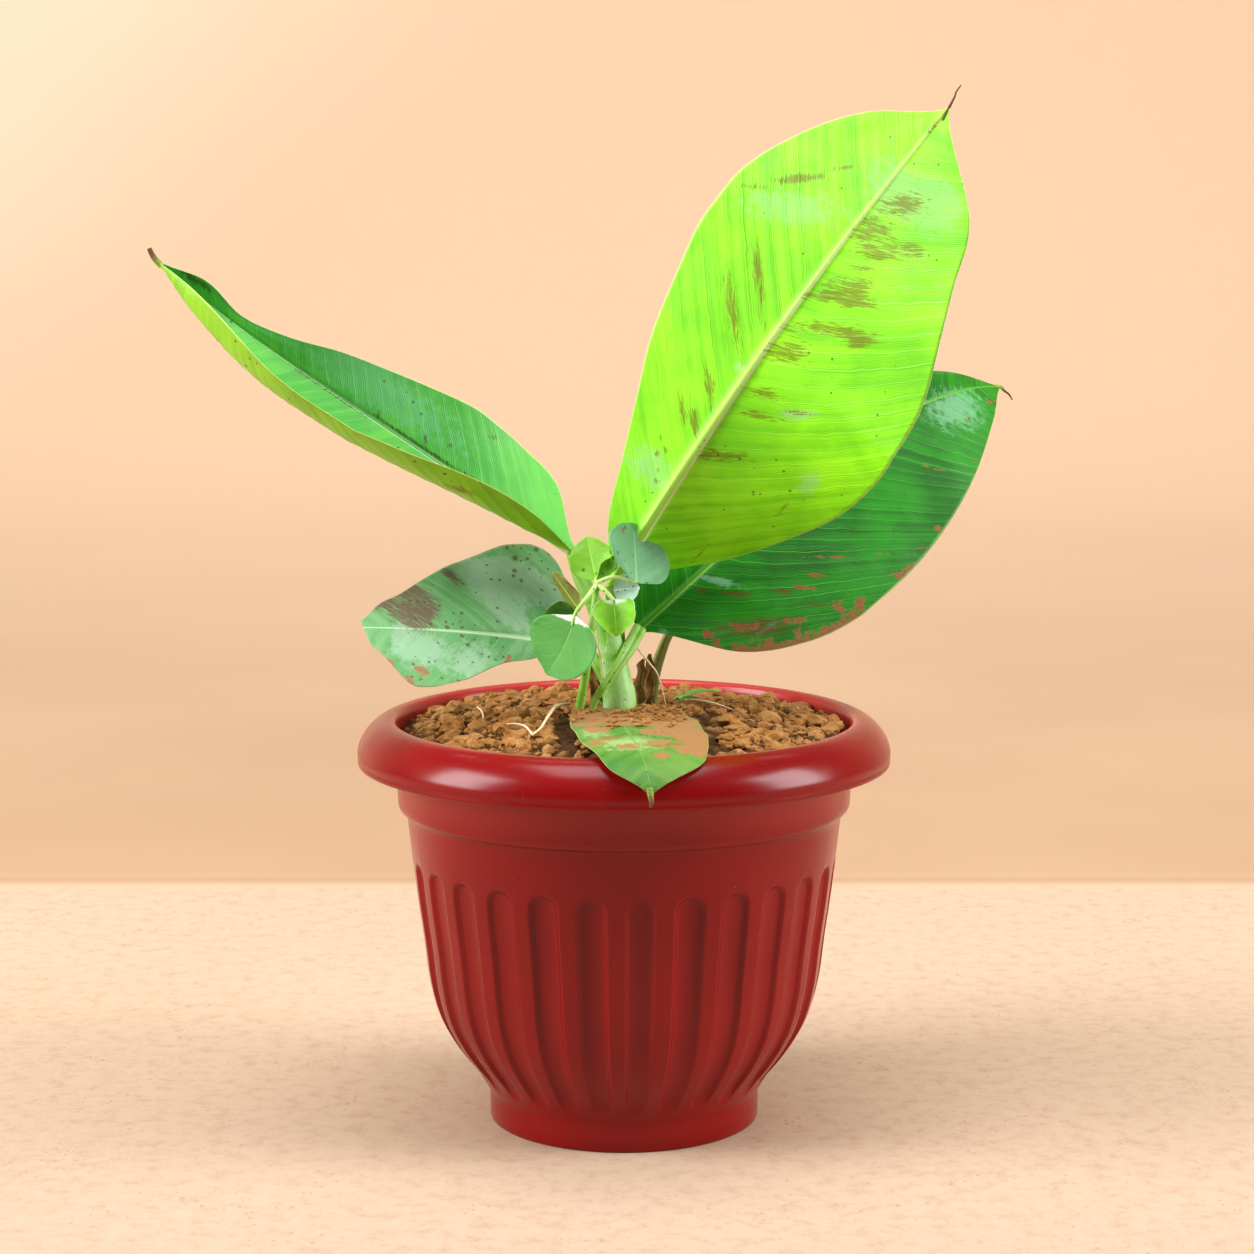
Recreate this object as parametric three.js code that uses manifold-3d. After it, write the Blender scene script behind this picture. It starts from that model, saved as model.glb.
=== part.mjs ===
// A young banana plant in a fluted plastic pot, with a small side shoot and a fallen leaf.
//
// Units are millimetres and +Z is up. The origin is the centre of the pot's flat underside.
// The plant is one clump: a pseudostem of rolled leaf bases, the leaf stalks that leave it,
// their blades, the dry remains of older leaves, and the round-leaved shoot in front of it.
//
// A heading is the compass direction of a midrib, in degrees from +X towards +Y.
// A rise is its slope above the level, also in degrees. A roll lifts the blade's right edge.

import * as THREE from 'three';
import { mergeVertices } from 'three/addons/utils/BufferGeometryUtils.js';
import Module from 'manifold-3d';

// Driving sizes of the pot and the soil.
const FOOT_RADIUS = 64.8;
const FOOT_HEIGHT = 14;
const NECK_RADIUS = 109.2;
const RIM_RADIUS = 127;
const RIM_UNDERSIDE = 174;
const CREST_RADIUS = 111.3;
const CREST_HEIGHT = 195.3;
const WALL = 2.4;
const FLOOR = 3;
const FLUTES = 28;
const FLUTE_DEPTH = 2.6;
const FLUTE_HALF_ANGLE = 4.1;
const FLUTE_TURN = 4.5;
const FLUTE_BOTTOM = 18;
const FLUTE_TOP = 130;
const SOIL_TOP = 199;
const SOIL_FALL = 12;
const SOIL_SEGMENTS = 36;
const CURVE_STEPS = 3;

// Driving sizes of the plant.
const GROUND = SOIL_TOP + 0.5;
const BLADE_THICKNESS = 1.2;
const BLUNT_END = 1;
const GAP = 0.3;
const FINEST_DETAIL = 0.05;

const POT_RED = new THREE.MeshStandardMaterial({ color: '#8e2320', roughness: 0.4, metalness: 0 });
const SOIL_BROWN = new THREE.MeshStandardMaterial({ color: '#a3703a', roughness: 1, metalness: 0 });
const STEM_GREEN = new THREE.MeshStandardMaterial({ color: '#8db866', roughness: 0.5, metalness: 0 });
const LEAF_BRIGHT = new THREE.MeshStandardMaterial({ color: '#7fce1e', roughness: 0.45, metalness: 0 });
const LEAF_DARK = new THREE.MeshStandardMaterial({ color: '#24720f', roughness: 0.4, metalness: 0 });
const LEAF_BLUE = new THREE.MeshStandardMaterial({ color: '#5fae5c', roughness: 0.45, metalness: 0 });
const LEAF_DULL = new THREE.MeshStandardMaterial({ color: '#7a9c72', roughness: 0.6, metalness: 0 });
const DRY_BROWN = new THREE.MeshStandardMaterial({ color: '#7a5230', roughness: 0.9, metalness: 0 });

const wasm = await Module();
wasm.setup();

const radians = THREE.MathUtils.degToRad;
const lerp = THREE.MathUtils.lerp;

// ---------------------------------------------------------------- closed solids

function solidOf(geometry) {
  const bare = geometry.clone();
  bare.deleteAttribute('normal');
  bare.deleteAttribute('uv');
  const welded = mergeVertices(bare, 1e-4);
  const vertProperties = new Float32Array(welded.attributes.position.array);
  const triVerts = new Uint32Array(welded.index.array);
  return new wasm.Manifold(new wasm.Mesh({ numProp: 3, vertProperties, triVerts }));
}

function geometryOf(solid) {
  const mesh = solid.getMesh();
  const geometry = new THREE.BufferGeometry();
  geometry.setAttribute('position', new THREE.BufferAttribute(mesh.vertProperties, 3));
  geometry.setIndex(new THREE.BufferAttribute(mesh.triVerts, 1));
  geometry.computeVertexNormals();
  return geometry;
}

// A cut can leave slivers on the far side of a stalk: only the largest body is the part, with
// the edges shorter than the finest detail taken out.
function largestBody(solid) {
  const bodies = solid.decompose();
  const largest = bodies.reduce((best, body) => (body.volume() > best.volume() ? body : best));
  return largest.simplify(FINEST_DETAIL);
}

function boxesMeet(a, b) {
  const first = a.boundingBox();
  const second = b.boundingBox();
  return [0, 1, 2].every((k) => first.min[k] < second.max[k] && second.min[k] < first.max[k]);
}

// ---------------------------------------------------------------- pot and soil

// The wall from the foot to the step under the rim, pushed in by an offset.
function wallPoints(offset) {
  const foot = new THREE.Vector2(FOOT_RADIUS + 0.2 - offset, FOOT_HEIGHT + offset);
  const low = new THREE.Vector2(70 - offset, 22 + offset);
  const high = new THREE.Vector2(92 - offset, 52);
  const belly = new THREE.Vector2(94 - offset, 70);
  const top = new THREE.Vector2(103.8 - offset, 150);
  const onSide = (height) => belly.clone().lerp(top, (height - belly.y) / (top.y - belly.y));
  const curve = new THREE.CubicBezierCurve(foot, low, high, belly).getPoints(CURVE_STEPS);
  return [...curve, onSide(FLUTE_TOP - 2), onSide(FLUTE_TOP + 2), top];
}

// The rim is a hollow roll, open below, that hangs outside the neck.
function potOutline() {
  const rimEdge = new THREE.Vector2(RIM_RADIUS, RIM_UNDERSIDE + 4.4);
  const rimShoulder = new THREE.Vector2(RIM_RADIUS - 3, 190);
  const crest = new THREE.Vector2(CREST_RADIUS, CREST_HEIGHT);
  return [
    new THREE.Vector2(0, 0),
    new THREE.Vector2(FOOT_RADIUS, 0),
    ...wallPoints(0),
    new THREE.Vector2(NECK_RADIUS - 1.6, 153.6),
    new THREE.Vector2(NECK_RADIUS, CREST_HEIGHT - WALL - 2),
    new THREE.Vector2(CREST_RADIUS + 1, CREST_HEIGHT - WALL - 0.6),
    rimShoulder.clone().addScalar(-WALL - 0.6),
    new THREE.Vector2(RIM_RADIUS - WALL, RIM_UNDERSIDE),
    new THREE.Vector2(RIM_RADIUS, RIM_UNDERSIDE + 1),
    ...new THREE.QuadraticBezierCurve(rimEdge, rimShoulder, crest).getPoints(CURVE_STEPS),
    new THREE.Vector2(CREST_RADIUS - WALL, CREST_HEIGHT - 1.4),
    new THREE.Vector2(NECK_RADIUS - WALL, RIM_UNDERSIDE),
    ...wallPoints(WALL).reverse(),
    new THREE.Vector2(FOOT_RADIUS - WALL, FLOOR),
    new THREE.Vector2(0, FLOOR),
  ];
}

// Each flute takes three of the turned corners: its middle, which is pressed inwards through
// the whole wall, and its two edges, which leave a narrow land to the next flute.
function makePot() {
  const outline = potOutline();
  const geometry = new THREE.LatheGeometry(outline, FLUTES * 3);
  const place = geometry.attributes.position;
  const edgeAngles = [0, FLUTE_HALF_ANGLE, 360 / FLUTES - FLUTE_HALF_ANGLE];
  for (let i = 0; i < place.count; i += 1) {
    const point = outline[i % outline.length];
    const corner = Math.floor(i / outline.length);
    const flute = Math.floor(corner / 3);
    const inFlute = corner % 3 === 0 && point.y > FLUTE_BOTTOM && point.y < FLUTE_TOP;
    const radius = point.x - (inFlute ? FLUTE_DEPTH : 0);
    const angle = radians(FLUTE_TURN + (flute * 360) / FLUTES + edgeAngles[corner % 3]);
    place.setXYZ(i, radius * Math.sin(angle), point.y, radius * Math.cos(angle));
  }
  return geometry.rotateX(Math.PI / 2);
}

// The soil fills the pot between the flutes. Its top is a low mound.
function makeSoil() {
  const clearance = 2 * GAP;
  const neck = NECK_RADIUS - WALL - clearance;
  const outline = [
    new THREE.Vector2(0, FLOOR + GAP),
    new THREE.Vector2(FOOT_RADIUS - WALL - FLUTE_DEPTH, FLOOR + GAP),
    ...wallPoints(WALL + FLUTE_DEPTH + clearance).filter((point, i) => i % 2 === 0),
    new THREE.Vector2(neck, RIM_UNDERSIDE),
  ];
  for (const share of [1, 0.85, 0.68, 0.5, 0.3, 0]) {
    outline.push(new THREE.Vector2((neck + 0.8) * share, SOIL_TOP - SOIL_FALL * share ** 3));
  }
  return new THREE.LatheGeometry(outline, SOIL_SEGMENTS).rotateX(Math.PI / 2);
}

// ---------------------------------------------------------------- stalks

// A round limb along a smooth route, tapering evenly from its base to its tip.
function makeLimb({ route, radii, sides = 8, steps = 6 }, growth = 0) {
  const curve = new THREE.CatmullRomCurve3(route.map((point) => new THREE.Vector3(...point)));
  const frames = curve.computeFrenetFrames(steps);
  const geometry = new THREE.CylinderGeometry(1, 1, 1, sides, steps);
  const place = geometry.attributes.position;
  const point = new THREE.Vector3();
  for (let i = 0; i < place.count; i += 1) {
    const along = place.getY(i) + 0.5;
    const step = Math.round(along * steps);
    const radius = lerp(radii[0], radii[1], along) + growth;
    point.copy(curve.getPointAt(along));
    point.addScaledVector(frames.normals[step], place.getX(i) * radius);
    point.addScaledVector(frames.binormals[step], -place.getZ(i) * radius);
    const outwards = Math.sign(step * 2 - steps) * Number(step % steps === 0);
    point.addScaledVector(frames.tangents[step], growth * outwards);
    place.setXYZ(i, point.x, point.y, point.z);
  }
  return geometry;
}

// ---------------------------------------------------------------- blades

// A value that is given at the base, the middle and the tip, or once for the whole blade.
function valueAt(values, along) {
  if (typeof values === 'number') return values;
  const place = along * (values.length - 1);
  const before = Math.min(Math.floor(place), values.length - 2);
  return lerp(values[before], values[before + 1], place - before);
}

function directionAt(leaf, along) {
  const heading = radians(leaf.heading + (leaf.swing ?? 0) * along);
  const rise = radians(leaf.rise + (leaf.bend ?? 0) * along ** (leaf.bendPower ?? 1));
  return new THREE.Vector3(
    Math.cos(rise) * Math.cos(heading),
    Math.cos(rise) * Math.sin(heading),
    Math.sin(rise),
  );
}

// Walks up the midrib in small steps, and notes its place and its three directions at each row.
function midribOf(leaf, rows) {
  const stepsPerRow = 20;
  const stride = leaf.length / rows / stepsPerRow;
  const place = new THREE.Vector3(...leaf.base);
  const stations = [];
  for (let row = 0; row <= rows; row += 1) {
    const forward = directionAt(leaf, row / rows);
    const level = new THREE.Vector3(0, 0, 1).cross(forward).negate().normalize();
    const roll = radians(leaf.roll + ((leaf.twist ?? 0) * row) / rows);
    const side = level.applyAxisAngle(forward, -roll);
    const up = side.clone().cross(forward);
    stations.push({ place: place.clone(), side, up });
    for (let step = 0; step < stepsPerRow; step += 1) {
      place.addScaledVector(directionAt(leaf, (row + (step + 0.5) / stepsPerRow) / rows), stride);
    }
  }
  return stations;
}

// The half-width swells from the base as a power of the way along, and closes at the tip.
function halfWidth([widest, base, tip], along) {
  const peak = base / (base + tip);
  const width = widest * (along / peak) ** base * ((1 - along) / (1 - peak)) ** tip;
  return Math.max(width, BLUNT_END);
}

// A thin blade on each side of its midrib. Each half stands up from the midrib by its fold and
// rolls inwards by its curl. Right is to the right of someone looking from the base to the tip.
function makeBlade(leaf, growth = 0) {
  const { rows = 12, columns = 6 } = leaf;
  const geometry = new THREE.BoxGeometry(2, 1, 1, columns, rows, 1);
  const stations = midribOf(leaf, rows);
  const place = geometry.attributes.position;
  const point = new THREE.Vector3();
  for (let i = 0; i < place.count; i += 1) {
    const along = place.getY(i) + 0.5;
    const { place: root, side, up } = stations[Math.round(along * rows)];
    const across = Math.abs(place.getX(i));
    const sign = Math.sign(place.getX(i));
    const right = place.getX(i) > 0;
    const width = halfWidth(right ? leaf.right : leaf.left, along) + growth;
    const fold = radians(valueAt((right ? leaf.foldRight : leaf.foldLeft) ?? 8, along));
    const curl = radians(valueAt((right ? leaf.curlRight : leaf.curlLeft) ?? 0, along)) + 1e-6;
    const slope = fold + curl * across;
    const reach = ((Math.sin(slope) - Math.sin(fold)) / curl) * width;
    const lift = ((Math.cos(fold) - Math.cos(slope)) / curl) * width;
    const face = place.getZ(i) * (BLADE_THICKNESS + 2 * growth);
    point.copy(root);
    point.addScaledVector(side, sign * (reach - face * Math.sin(slope) * (across > 0)));
    point.addScaledVector(up, lift + face * (across > 0 ? Math.cos(slope) : 1));
    place.setXYZ(i, point.x, point.y, point.z);
  }
  return geometry;
}

// ---------------------------------------------------------------- the plant

const LIMBS = {
  pseudostem: {
    route: [[-1.7, -7, GROUND], [-2.2, -7, 206], [-3.8, -7, 214], [-7.3, -6, 234], [-14, -4, 250]],
    radii: [8, 4.4],
    sides: 12,
    steps: 8,
    material: STEM_GREEN,
  },
  stalk_left: {
    route: [[-14, -4, 250.3], [-20, -2, 261], [-24.5, 0, 273]],
    radii: [4.2, 3],
    material: STEM_GREEN,
  },
  stalk_tall: {
    route: [[-3, 0, 222], [-4, 0, 240], [-6, -3.6, 258]],
    radii: [4.5, 3.2],
    material: STEM_GREEN,
  },
  stalk_right: {
    route: [[-17, -18, GROUND], [-8, -19, 214.6], [0.5, -12, 226.4], [6.8, 1.3, 236.4]],
    radii: [2.3, 4],
    material: STEM_GREEN,
  },
  stalk_low: {
    route: [[-7, -9, 211], [-13, -7, 222], [-18.3, -2.3, 228.8]],
    radii: [3.4, 2.6],
    material: STEM_GREEN,
  },
  stalk_old: {
    route: [[12.5, 14, GROUND], [14.4, 14, 212], [19.5, 16, 228], [23.5, 17, 235]],
    radii: [3.2, 2.2],
    material: STEM_GREEN,
  },
  shoot_stem: {
    route: [[-22.5, -16, GROUND], [-18, -23, 219], [-15, -28, 241], [-12.5, -30, 263]],
    radii: [2.2, 1.5],
    material: STEM_GREEN,
  },
  shoot_stalk_front: {
    route: [[-12.5, -30, 262], [-17, -35, 257], [-22.4, -37.8, 249.9]],
    radii: [1.2, 0.9],
    sides: 6,
    steps: 4,
    material: STEM_GREEN,
  },
  shoot_stalk_cupped: {
    route: [[-12.5, -30, 262], [-8, -33, 259], [-5, -33.9, 255.4]],
    radii: [1.2, 0.9],
    sides: 6,
    steps: 4,
    material: STEM_GREEN,
  },
  shoot_stalk_upper: {
    route: [[-12.5, -30, 263], [-4.6, -30, 265.7], [4.7, -28.5, 262.8]],
    radii: [1.2, 0.9],
    sides: 6,
    steps: 4,
    material: STEM_GREEN,
  },
};

const BLADES = {
  leaf_tall: {
    base: [-5.9, -4, 259.3], heading: -29.8, swing: -1.8, rise: 56.4, bend: -8.7, length: 278,
    roll: 72.5, twist: 24.7,
    right: [60.2, 1.3, 0.85], foldRight: [12, 0, -3],
    left: [77.3, 0.6, 0.6], foldLeft: [49, 0, 0],
    material: LEAF_BRIGHT,
  },
  leaf_right: {
    base: [7.3, 2, 237.3], heading: 16.5, swing: 35.4, rise: 39.8, bend: -45.6, bendPower: 2,
    length: 262.5, roll: -62.6, twist: 14,
    right: [68.3, 0.6, 0.95], foldRight: [5, 0, 1],
    left: [61.7, 0.55, 1.35], foldLeft: [8, 0, -2],
    material: LEAF_DARK,
  },
  leaf_left: {
    base: [-25, 0, 274], heading: 172, swing: 26.7, rise: 33.7, bend: 8.8, bendPower: 4,
    length: 238.3, roll: 8.7, twist: 59.7, columns: 8,
    right: [34.2, 0.6, 1.95], foldRight: [24.5, 44, 59.5],
    left: [46.2, 0.7, 0.55], foldLeft: [-19.5, -19.5, 8], curlLeft: [94, 100],
    material: LEAF_BLUE,
  },
  leaf_low: {
    base: [-19.1, -2, 229.3], heading: 205.6, swing: 2, rise: 12, bend: -8, length: 113,
    roll: 52, twist: -17,
    right: [50.3, 0.3, 0.85], foldRight: [12, 0, -1],
    left: [36.7, 1.35, 0.25], foldLeft: [8, 0, 1],
    material: LEAF_DULL,
  },
  leaf_fallen: {
    base: [-1, -3, 200.6], heading: -92, swing: 16, rise: 0, bend: -75, bendPower: 8, length: 135,
    roll: 0, foldRight: 0, foldLeft: 0,
    right: [24.5, 0.1, 0.2],
    left: [35, 0.25, 0.3],
    material: LEAF_DULL,
  },
  dry_sheath_left: {
    base: [-11.5, 6, GROUND], heading: 125, rise: 80, length: 21, roll: 60, rows: 6, columns: 2,
    right: [4.5, 0.4, 0.6], left: [4.5, 0.4, 0.6],
    material: DRY_BROWN,
  },
  dry_sheath_right: {
    base: [10, 6, GROUND], heading: 55, rise: 82, length: 31, roll: -60, rows: 6, columns: 2,
    right: [6, 0.4, 0.7], left: [6, 0.4, 0.7],
    material: DRY_BROWN,
  },
  shoot_leaf_front: {
    base: [-22.7, -38, 248.7], heading: 178, rise: -78, bend: 28, length: 30.6, roll: 53,
    right: [20.7, 0.4, 0.6], left: [20.7, 0.4, 0.6],
    material: LEAF_BLUE,
  },
  shoot_leaf_cupped: {
    base: [-4.7, -34, 254.4], heading: -86, rise: -37, bend: -4, length: 22, roll: -17,
    right: [13, 0.6, 0.4], foldRight: 20, left: [13, 0.6, 0.4], foldLeft: 20,
    material: LEAF_BLUE,
  },
  shoot_leaf_upper: {
    base: [5.8, -28, 263], heading: 95, rise: 53, bend: 10, length: 30.6, roll: -44,
    right: [21.4, 0.5, 0.5], left: [21.4, 0.5, 0.5],
    material: LEAF_DULL,
  },
  shoot_leaf_inner: {
    base: [-4.8, -26, 259], heading: -5, rise: 6, length: 12.2, roll: -52,
    right: [7.9, 0.5, 0.4], left: [7.9, 0.5, 0.4],
    material: LEAF_DULL,
  },
  shoot_leaf_bud: {
    base: [-12.5, -28, 264.3], heading: 45, rise: 42, bend: -9, length: 15.3, roll: -66,
    right: [4.9, 0.5, 0.5], left: [4.9, 0.5, 0.5],
    material: LEAF_BRIGHT,
  },
  shoot_leaf_back: {
    base: [-12.9, -20, 263.3], heading: 130, rise: 69, bend: 5, length: 20.8, roll: 68,
    right: [11.6, 0.5, 0.6], left: [11.6, 0.5, 0.6],
    material: LEAF_BRIGHT,
  },
  shoot_leaf_shaded: {
    base: [-22.2, -28, 247.3], heading: 178, rise: 1, length: 14.9, roll: -50,
    right: [8.4, 0.5, 0.5], left: [8.4, 0.5, 0.5],
    material: LEAF_DARK,
  },
  shoot_leaf_olive: {
    base: [-20.5, -20, 248.7], heading: 162, rise: 52, length: 22.4, roll: -59,
    right: [5.5, 0.4, 0.6], left: [5.5, 0.4, 0.6],
    material: DRY_BROWN,
  },
};

// Small leaves need fewer facets than the large ones.
const SMALL_LEAF = { rows: 8, columns: 4 };

// Every piece gives way to the ground under it and to the pieces before it, and keeps the gap.
function fitTogether(ground, pieces) {
  const settled = [];
  for (const { name, material, whole, grown } of pieces) {
    let solid = whole;
    for (const other of [...ground, ...settled.map((earlier) => earlier.grown)]) {
      if (boxesMeet(solid, other)) solid = solid.subtract(other);
    }
    settled.push({ name, material, grown, solid: largestBody(solid) });
  }
  return settled;
}

function addMesh(group, name, geometry, material) {
  const mesh = new THREE.Mesh(geometry, material);
  mesh.name = name;
  group.add(mesh);
}

const plant = new THREE.Group();
const pieces = [];
for (const [name, limb] of Object.entries(LIMBS)) {
  const whole = solidOf(makeLimb(limb));
  pieces.push({ name, material: limb.material, whole, grown: solidOf(makeLimb(limb, GAP)) });
}
for (const [name, blade] of Object.entries(BLADES)) {
  const leaf = name.startsWith('shoot') ? { ...SMALL_LEAF, ...blade } : blade;
  const whole = solidOf(makeBlade(leaf));
  pieces.push({ name, material: blade.material, whole, grown: solidOf(makeBlade(leaf, GAP)) });
}

const pot = makePot();
const soil = makeSoil();
const raised = [pot, soil].map((geometry) => solidOf(geometry.clone().translate(0, 0, GAP)));

addMesh(plant, 'pot', pot, POT_RED);
addMesh(plant, 'soil', soil, SOIL_BROWN);
for (const { name, material, solid } of fitTogether(raised, pieces)) {
  addMesh(plant, name, geometryOf(solid), material);
}

export default plant;
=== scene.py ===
import math
import random

import bmesh
import bpy
from mathutils import Matrix, Vector, noise


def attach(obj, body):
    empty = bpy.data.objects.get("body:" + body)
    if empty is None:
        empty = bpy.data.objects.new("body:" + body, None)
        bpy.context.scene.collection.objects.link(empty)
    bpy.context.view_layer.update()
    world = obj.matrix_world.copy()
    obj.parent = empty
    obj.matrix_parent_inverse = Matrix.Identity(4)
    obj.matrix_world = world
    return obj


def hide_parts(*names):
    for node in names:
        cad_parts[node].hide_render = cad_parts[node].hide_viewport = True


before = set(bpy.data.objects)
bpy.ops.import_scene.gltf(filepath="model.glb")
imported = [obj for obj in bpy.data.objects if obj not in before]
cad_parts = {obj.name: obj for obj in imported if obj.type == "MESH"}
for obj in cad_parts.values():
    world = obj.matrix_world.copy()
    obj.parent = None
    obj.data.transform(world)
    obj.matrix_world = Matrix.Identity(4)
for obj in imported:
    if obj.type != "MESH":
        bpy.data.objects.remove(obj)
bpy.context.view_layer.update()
random.seed(11)

# ======================================================================= pot
# A fluted garden pot, injection moulded in glossy dark red plastic. The wall stands on a short
# foot ring, swells to a belly, steps out to a plain neck and ends in a broad rolled rim.
# Everything else stands in it, so it comes first.

MM = 0.001
FLUTE_COUNT = 28
FLUTE_TURN = math.radians(4.5)
FLUTE_HALF_ANGLE = math.radians(4.1)
FLUTE_BOTTOM = 19 * MM
FLUTE_TOP = 129.5 * MM
FLUTE_DEPTH = 3 * MM
FLUTE_EDGE = 1.5 * MM
FLUTE_FADE = 11 * MM
POT_STEPS = 672

UNDERSIDE = [(0, 1.6), (20, 1.6), (40, 1.6), (56, 1.6), (57.4, 1.4), (58.4, 0.3), (59.2, 0), (63.6, 0)]
FOOT = [(64.4, 0.3), (64.8, 1.1), (64.9, 7), (64.9, 12.8)]
BELLY = [
    (65.1, 14), (67.2, 18), (70.8, 24), (77.2, 32), (84, 42), (89.9, 54), (94, 70), (96.5, 90),
    (99.3, 110), (101.6, 130), (103.6, 148.4),
]
STEP_AND_NECK = [
    (103.9, 150.2), (104.6, 151.4), (106.2, 152.2), (107.2, 153), (107.8, 154.4), (108, 156),
    (108.3, 162), (108.8, 170), (109.1, 176), (109.2, 184), (109.2, 190),
]
UNDER_ROLL = [(109.8, 191.3), (112.4, 191.9), (117, 190), (121, 186.4), (123.6, 181.4), (124.3, 175)]
ROLL_EDGE = [(124.6, 174.3), (125.4, 174), (126.4, 174.2), (126.8, 174.8), (126.9, 176), (126.6, 176.8)]
ROLL = [
    (126.9, 177.6), (127, 179.4), (126.6, 182), (125.4, 185.2), (123.2, 188.6), (120.2, 191.8),
    (116.6, 194.2), (113.4, 195.2), (111.3, 195.3),
]
INSIDE = [(109.6, 194.8), (108.6, 193.4), (108, 191), (107.2, 182), (106.6, 172), (105.4, 156), (101.4, 148)]
INNER_FLOOR = [(61.8, 4.4), (60, 4), (0, 4)]
WALL = Vector((2.4, -0.6))


def along_curve(points, spacing):
    """Points on a smooth curve through the given ones, about one spacing apart."""
    places = [Vector(point) for point in points]
    smooth = []
    for i in range(len(places) - 1):
        before, start = places[max(i - 1, 0)], places[i]
        end, after = places[i + 1], places[min(i + 2, len(places) - 1)]
        pieces = max(1, round((end - start).length / spacing))
        for k in range(pieces):
            t = k / pieces
            bend = (end - before) * t + (before * 2 - start * 5 + end * 4 - after) * t * t
            smooth.append(start + (bend + (start * 3 - before - end * 3 + after) * t ** 3) * 0.5)
    return smooth + [places[-1]]


def turn_round(bm, profile, steps):
    """Turns a profile of (radius, height) round the upright axis into a closed shell."""
    rail = [bm.verts.new((radius, 0, height)) for radius, height in profile]
    edges = [bm.edges.new(pair) for pair in zip(rail, rail[1:])]
    bmesh.ops.spin(
        bm, geom=rail + edges, cent=(0, 0, 0), axis=(0, 0, 1), angle=math.tau,
        steps=steps, use_merge=True,
    )
    bmesh.ops.remove_doubles(bm, verts=bm.verts, dist=1e-6)
    bmesh.ops.recalc_face_normals(bm, faces=bm.faces)


def flute_press(place):
    """How far a point of the wall is pressed in by the nearest round-ended flute."""
    radius = math.hypot(place.x, place.y)
    pitch = math.tau / FLUTE_COUNT
    turned = math.atan2(place.x, -place.y) - FLUTE_TURN
    across = abs((turned + pitch / 2) % pitch - pitch / 2) * radius
    half = radius * FLUTE_HALF_ANGLE
    beyond = max(FLUTE_BOTTOM + half - place.z, 0, place.z - FLUTE_TOP + half)
    inside = max(half - math.hypot(across, beyond), 0)
    edge = min(inside / FLUTE_EDGE, 1)
    fade = min(max(place.z - FLUTE_BOTTOM, 0) / FLUTE_FADE, 1)
    crisp = 0.5 * edge * edge * (3 - 2 * edge)
    dished = 0.4 * (1 - (1 - inside / half) ** 2)
    return FLUTE_DEPTH * fade * (crisp + dished)


def mesh_object(name, bm, materials, shade=True):
    """Makes a mesh object of a bmesh, at the origin."""
    mesh = bpy.data.meshes.new(name)
    bm.to_mesh(mesh)
    bm.free()
    for material in materials:
        mesh.materials.append(material)
    if shade:
        mesh.shade_smooth()
    made = bpy.data.objects.new(name, mesh)
    bpy.context.scene.collection.objects.link(made)
    return made


def finish_piece(name, bm, materials, nodes=(), shade=True):
    """Makes a bmesh one piece, fixed to the one rigid body, in place of its CAD nodes."""
    piece = mesh_object(name, bm, materials, shade)
    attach(piece, "root")
    if nodes:
        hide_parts(*nodes)


def paint(code):
    """A material colour from its six-digit screen code."""
    parts = [int(code[i:i + 2], 16) / 255 for i in (0, 2, 4)]
    linear = [c / 12.92 if c <= 0.04045 else ((c + 0.055) / 1.055) ** 2.4 for c in parts]
    return (*linear, 1)


def add_node(tree, kind, sockets=None, **settings):
    """Adds a shader node, with links or plain values on the named sockets."""
    made = tree.nodes.new("ShaderNode" + kind)
    for name, value in settings.items():
        setattr(made, name, value)
    for name, value in (sockets or {}).items():
        if isinstance(value, bpy.types.NodeSocket):
            tree.links.new(value, made.inputs[name])
        else:
            made.inputs[name].default_value = value
    return made


def maths(tree, operation, first, second=0.0, third=0.0):
    """One sum on up to three values or sockets."""
    made = add_node(tree, "Math", {0: first, 1: second, 2: third}, operation=operation)
    return made.outputs[0]


def times(tree, first, second):
    return maths(tree, "MULTIPLY", first, second)


def axes(tree, place):
    """The x, y and z of a place."""
    return add_node(tree, "SeparateXYZ", {0: place}).outputs


def own_place(tree):
    """Where a point lies on its own piece, in metres."""
    return add_node(tree, "TexCoord").outputs["Object"]


def read_layer(tree, name):
    """A named layer of the mesh, as a place."""
    return add_node(tree, "Attribute", attribute_name=name).outputs["Vector"]


def tint(tree, share, under, over):
    """Lays one colour over another by a share."""
    made = add_node(tree, "Mix", {0: share, 6: under, 7: over}, data_type="RGBA")
    return made.outputs[2]


def ease(tree, value, low, high, start=0.0, end=1.0):
    """Goes smoothly from start to end as the value goes from low to high."""
    sockets = {"Value": value, "From Min": low, "From Max": high, "To Min": start, "To Max": end}
    return add_node(tree, "MapRange", sockets, interpolation_type="SMOOTHSTEP").outputs[0]


def mottle(tree, place, scale, detail=4.0, roughness=0.55):
    """Plain cloudy noise about 0.5 at a scale in cells per metre."""
    sockets = {"Vector": place, "Scale": scale, "Detail": detail, "Roughness": roughness}
    return add_node(tree, "TexNoise", sockets).outputs[0]


def new_group(name, inputs, outputs):
    """An empty shader node group with named sockets, its input node and its output node."""
    tree = bpy.data.node_groups.new(name, "ShaderNodeTree")
    for label, kind, value in inputs:
        socket = tree.interface.new_socket(name=label, in_out="INPUT", socket_type="NodeSocket" + kind)
        if value is not None:
            socket.default_value = value
    for label, kind in outputs:
        tree.interface.new_socket(name=label, in_out="OUTPUT", socket_type="NodeSocket" + kind)
    return tree, tree.nodes.new("NodeGroupInput").outputs, tree.nodes.new("NodeGroupOutput").inputs


def use_group(tree, group, sockets):
    """Places a node group in a material with its own values."""
    return add_node(tree, "Group", sockets, node_tree=group).outputs


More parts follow.
